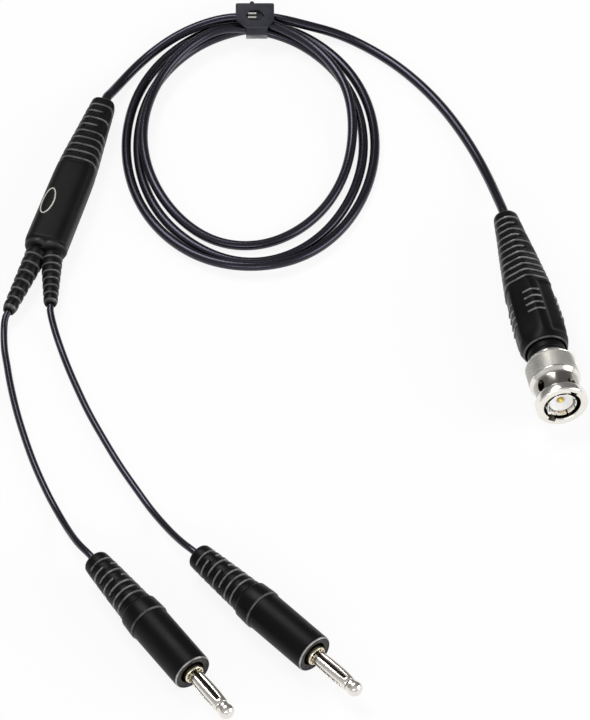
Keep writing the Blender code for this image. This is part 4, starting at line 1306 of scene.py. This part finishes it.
def makeContactPin(side):
    profile = [
        (57.2, 0.0), (57.2, 1.15), (58.9, 1.15), (58.95, 1.86), (59.5, 1.82), (59.9, 1.93), (60.5, 2.07),
        (61.1, 2.09), (61.8, 1.85), (62.4, 1.2), (62.7, 0.0),
    ]
    return settle(turnProfile(f"bananaPin_{side}", profile, 48, 0.1), bananaPlaces[side])


def makePinRod(side):
    profile = [(46.0, 0.0), (46.0, 1.3), (47.0, 0.95), (57.3, 0.95), (57.3, 0.0)]
    return settle(turnProfile(f"bananaRod_{side}", profile, 36, 0.05), bananaPlaces[side])


seatSetup = {"notches": 10, "share": 0.42, "depth": 0.6, "from": 1.45, "to": 2.3}


def makeShoulder(side, setup):
    # the brass seat that the contact stands on, with notches round its face
    profile = [
        (26.0, 0.0), (26.0, 1.6), (44.2, 1.6), (44.2, 2.75), (46.0, 2.75), (46.3, 2.6), (46.3, 2.4),
        (46.1, 2.2),
        (46.1, 1.5), (45.9, 1.3), (45.9, 0.0),
    ]
    seat = turnProfile(f"bananaSeat_{side}", profile, 96, 0.06)

    def rule(points):
        reach, theta = polar(points)
        notch = (theta * setup["notches"] / math.tau) % 1.0 < setup["share"]
        notch &= (reach > setup["from"]) & (reach < setup["to"]) & (points[:, 2] > 46.0)
        points[:, 2] -= setup["depth"] * notch
        return points

    moveVertices(seat, rule)
    # all but the front face is painted dark as shade down in the barrel
    markRims(seat, lambda along, reach, theta: (along > 45.85) & (reach > 1.4), "ridge")
    return settle(seat, bananaPlaces[side])


lanternSetup = {
    "sides": 120, "slotMiddle": -7.5, "slotHalf": 17.0, "slotTo": 57.2, "wall": 0.35, "fall": 0.2,
    "edge": 0.06,
}


def makeLanternSleeve(side, setup):
    # one sleeve, slit lengthwise so that its four leaves stand apart
    shape = [
        (46.2, 1.9), (46.8, 2.0), (47.6, 2.1), (49.0, 2.18), (50.3, 2.23), (51.6, 2.27), (52.9, 2.29),
        (54.2, 2.29),
        (55.5, 2.26), (56.8, 2.19), (57.6, 2.12), (58.3, 2.03), (58.7, 1.9),
    ]
    sleeve = turnProfile(f"lanternSleeve_{side}", shape, setup["sides"])

    def fromSlot(degrees):
        # how far round from the middle of the nearest slot
        return np.abs((degrees - setup["slotMiddle"] + 45.0) % 90.0 - 45.0)

    editStart(sleeve)
    bpy.ops.mesh.select_all(action="DESELECT")
    bm = bmesh.from_edit_mesh(sleeve.data)
    for face in bm.faces:
        middle = face.calc_center_median() / mm
        turn = math.degrees(math.atan2(middle.x, middle.y))
        face.select = fromSlot(turn) < setup["slotHalf"] and middle.z < setup["slotTo"]
    bmesh.update_edit_mesh(sleeve.data)
    bpy.ops.mesh.delete(type="FACE")
    editEnd()

    def rule(points):
        # each leaf's edges fall in a little
        reach, theta = polar(points)
        inLeaf = (fromSlot(np.degrees(theta)) - setup["slotHalf"]) / (45 - setup["slotHalf"])
        fall = setup["fall"] * np.clip(1 - inLeaf, 0.0, 1.0) ** 3 * (1 - smoothStep(points[:, 2], 56.0, 58.0))
        return setPolar(points, reach - fall, theta)

    moveVertices(sleeve, rule)
    wall = sleeve.modifiers.new("wall", "SOLIDIFY")
    wall.thickness = setup["wall"] * mm
    wall.offset = -1.0
    softened(sleeve, setup["edge"], 50.0)
    return settle(sleeve, bananaPlaces[side])


for side in bananaPlaces:
    dress(makeBananaBoot(side, bananaSetup), bootPlastic, "lead", (f"banana_{side}_boot",))
    dress(makeBarrel(side, bananaSetup), barrelPlastic, "lead", (f"banana_{side}_barrel",))
    dress(makeContactPin(side), bananaNickel[side], "lead", (f"banana_{side}_pin",))
    dress(makePinRod(side), shadedSteel, "lead")
    dress(makeShoulder(side, seatSetup), brassShoulder, "lead")
    sleeve = makeLanternSleeve(side, lanternSetup)
    dress(sleeve, bananaNickel[side], f"{side}_lantern", (f"banana_{side}_lantern",))
print("banana plugs made")


# strap

strapSetup = {
    "turn": 2.0, "inner": 3.85, "wall": 0.47, "width": 5.8, "shift": 0.5, "edgeHighlight": 0.7, "edgeHighlightTurn": 160.1,
    "lean": 20.0, "rise": 4.05, "thick": 1.2,
    "outline": ((-5.2, 3.75), (5.2, 3.75), (5.2, -1.1), (3.5, -3.2), (-2.4, -3.2), (-5.2, -1.1)),
    "slot": (0.0, 0.1, 2.6), "slotShare": 0.66, "slotDepth": 0.8,    # "slot" is its middle and its reach
    "knob": (-0.8, 3.75), "knobRadius": 0.62,
    "bars": (0.8, -0.35), "barFrom": -1.9, "barTo": 0.4, "barHalf": 0.17,
}


def strapSpot(setup):
    # where the bundle crosses the strap
    middle = coilPoint(coilSetup, setup["turn"], coilSetup["bundleInset"], coilSetup["bundleHeight"])
    return Matrix.Translation(Vector(middle) * mm)


def leaning(setup):
    return strapSpot(setup) @ Matrix.Rotation(math.radians(setup["lean"]), 4, "X")


def makeBand(setup):
    half = setup["width"] / 2
    outer = setup["inner"] + setup["wall"]
    profile = [(-half, setup["inner"]), (-half, outer), (half, outer), (half, setup["inner"])]
    band = turnProfile("strapBand", profile, 72, 0.12, closed=True)
    # a highlight is painted along the lower front edge, where the band turns under
    middle = math.radians(setup["edgeHighlightTurn"])
    markRims(band, lambda up, reach, theta: setup["edgeHighlight"] * smoothStep(np.cos(theta - middle), 0.93, 0.985))
    across = Matrix.Translation((setup["shift"] * mm, 0.0, 0.0)) @ Matrix.Rotation(math.radians(90), 4, "Y")
    band.data.transform(strapSpot(setup) @ across)
    return band


def makeTab(setup):
    low, high = setup["rise"], setup["rise"] + setup["thick"]
    tab = softened(drawPlate("strapTab", setup["outline"], low, high, 0.45), 0.22)
    x, y, reach = setup["slot"]
    hexagon = []
    for i in range(6):
        turn = math.radians(60 * i)
        hexagon.append((x + reach * math.cos(turn), y + setup["slotShare"] * reach * math.sin(turn)))
    cutWith(tab, [drawPlate("tabSlot", hexagon, high - setup["slotDepth"], high + 0.5, 0.2)])
    deselectAll()
    bpy.ops.mesh.primitive_uv_sphere_add(
        segments=24, ring_count=12, radius=setup["knobRadius"] * mm,
        location=(setup["knob"][0] * mm, setup["knob"][1] * mm, (high - 0.25) * mm),
    )
    knob = bpy.context.object
    knob.scale = (1.0, 0.9, 0.75)
    tab = joined(tab, knob)
    tab.data.transform(leaning(setup))
    return tab


def makeTabBars(setup):
    # two pale ribs across the slot
    high = setup["rise"] + setup["thick"]
    x, y, reach = setup["slot"]
    near, far, half = x + setup["barFrom"], x + setup["barTo"], setup["barHalf"]
    bars = []
    for i, up in enumerate(setup["bars"]):
        low, top = y + up - half, y + up + half
        outline = ((near, low), (near, top), (far, top), (far, low))
        bars.append(softened(drawPlate(f"tabBar_{i}", outline, high - 0.85, high - 0.25, 0.05), 0.05))
    bars = joined(*bars)
    bars.name = "strapTabBars"
    bars.data.transform(leaning(setup))
    return bars


dress(makeBand(strapSetup), strapRubber, "lead", ("tie_strap",))
dress(makeTab(strapSetup), strapRubber, "lead")
dress(makeTabBars(strapSetup), badgePaint, "lead")
print("strap made")


# the cords' lengths, points and leg ends, worked out and left unused

lineLength(coaxLine) * mm
[Vector(p) * mm for p in coaxLine]
for side in bananaPlaces:
    Vector(legPoint(side, 0.0)) * mm
    lineLength(leadLines[side]) * mm


# table, lamps and sky

studio = {
    "floorColour": (0.9, 0.9, 0.9), "floorGlow": 0.88,
    "lamps": (
        {"name": "overheadLamp", "at": (-0.35, 0.45, 0.9), "size": (0.6, 0.3), "power": 5.0},
        {"name": "rightLamp", "at": (1.0, -0.1, 0.45), "size": (0.9, 0.5), "power": 6.0},
        {"name": "frontLamp", "at": (-0.1, -0.9, 0.5), "size": (0.9, 0.15), "power": 2.8},
    ),
    "lampAim": (0.0, 0.02, 0.0), "sky": (0.55, 0.2),    # the sky's strength in front and behind
}


def makeFloor(setup):
    deselectAll()
    bpy.ops.mesh.primitive_plane_add(size=8.0, location=(0.0, 0.0, -0.00005))
    floor = bpy.context.object
    floor.name = "tableTop"
    material, tree, shader = newMaterial(
        "tableWhite", Roughness=0.9, Specular_IOR_Level=0.0, Base_Color=(*setup["floorColour"], 1.0),
    )
    # the table is nearly pure white to the camera and in reflections
    glow = addNode(tree, "ShaderNodeEmission", Strength=1.0)
    mix = tree.nodes.new("ShaderNodeMixShader")
    path = tree.nodes.new("ShaderNodeLightPath")
    seen = addNode(tree, "ShaderNodeMath", "MAXIMUM")
    share = addNode(tree, "ShaderNodeMath", "MULTIPLY")
    share.inputs[1].default_value = setup["floorGlow"]
    for source, target in (
        (path.outputs["Is Camera Ray"], seen.inputs[0]), (path.outputs["Is Glossy Ray"], seen.inputs[1]),
        (seen.outputs["Value"], share.inputs[0]), (share.outputs["Value"], mix.inputs["Fac"]),
        (shader.outputs["BSDF"], mix.inputs[1]), (glow.outputs["Emission"], mix.inputs[2]),
        (mix.outputs["Shader"], tree.nodes["Material Output"].inputs["Surface"]),
    ):
        tree.links.new(source, target)
    floor.data.materials.append(material)


def makeLamps(setup):
    for lamp in setup["lamps"]:
        bpy.ops.object.light_add(type="AREA", location=lamp["at"])
        light = bpy.context.object
        light.name = lamp["name"]
        light.data.shape = "RECTANGLE"
        light.data.size, light.data.size_y = lamp["size"]
        light.data.energy = lamp["power"]
        aim = Vector(setup["lampAim"]) - Vector(lamp["at"])
        light.rotation_euler = aim.to_track_quat("-Z", "Y").to_euler()


def makeSky(setup):
    world = bpy.data.worlds.new("paleRoom")
    bpy.context.scene.world = world
    world.use_nodes = True
    tree = world.node_tree
    tree.nodes.clear()
    inFront, behind = setup["sky"]
    fade = addNode(tree, "ShaderNodeMapRange", From_Min=-0.4, From_Max=0.5, To_Min=inFront, To_Max=behind)
    light = addNode(tree, "ShaderNodeBackground", Color=(1.0, 1.0, 1.0, 1.0))
    seen = addNode(tree, "ShaderNodeBackground", Color=(1.0, 1.0, 1.0, 1.0), Strength=1.0)
    place = tree.nodes.new("ShaderNodeTexCoord")
    apart = tree.nodes.new("ShaderNodeSeparateXYZ")
    path = tree.nodes.new("ShaderNodeLightPath")
    mix = tree.nodes.new("ShaderNodeMixShader")
    out = tree.nodes.new("ShaderNodeOutputWorld")
    for source, target in (
        (place.outputs["Generated"], apart.inputs["Vector"]), (apart.outputs["Y"], fade.inputs["Value"]),
        (fade.outputs["Result"], light.inputs["Strength"]),
        (path.outputs["Is Camera Ray"], mix.inputs["Fac"]),
        (light.outputs["Background"], mix.inputs[1]), (seen.outputs["Background"], mix.inputs[2]),
        (mix.outputs["Shader"], out.inputs["Surface"]),
    ):
        tree.links.new(source, target)


makeFloor(studio)
makeLamps(studio)
makeSky(studio)
bpy.context.scene.view_settings.view_transform = "Standard"
print("studio made")
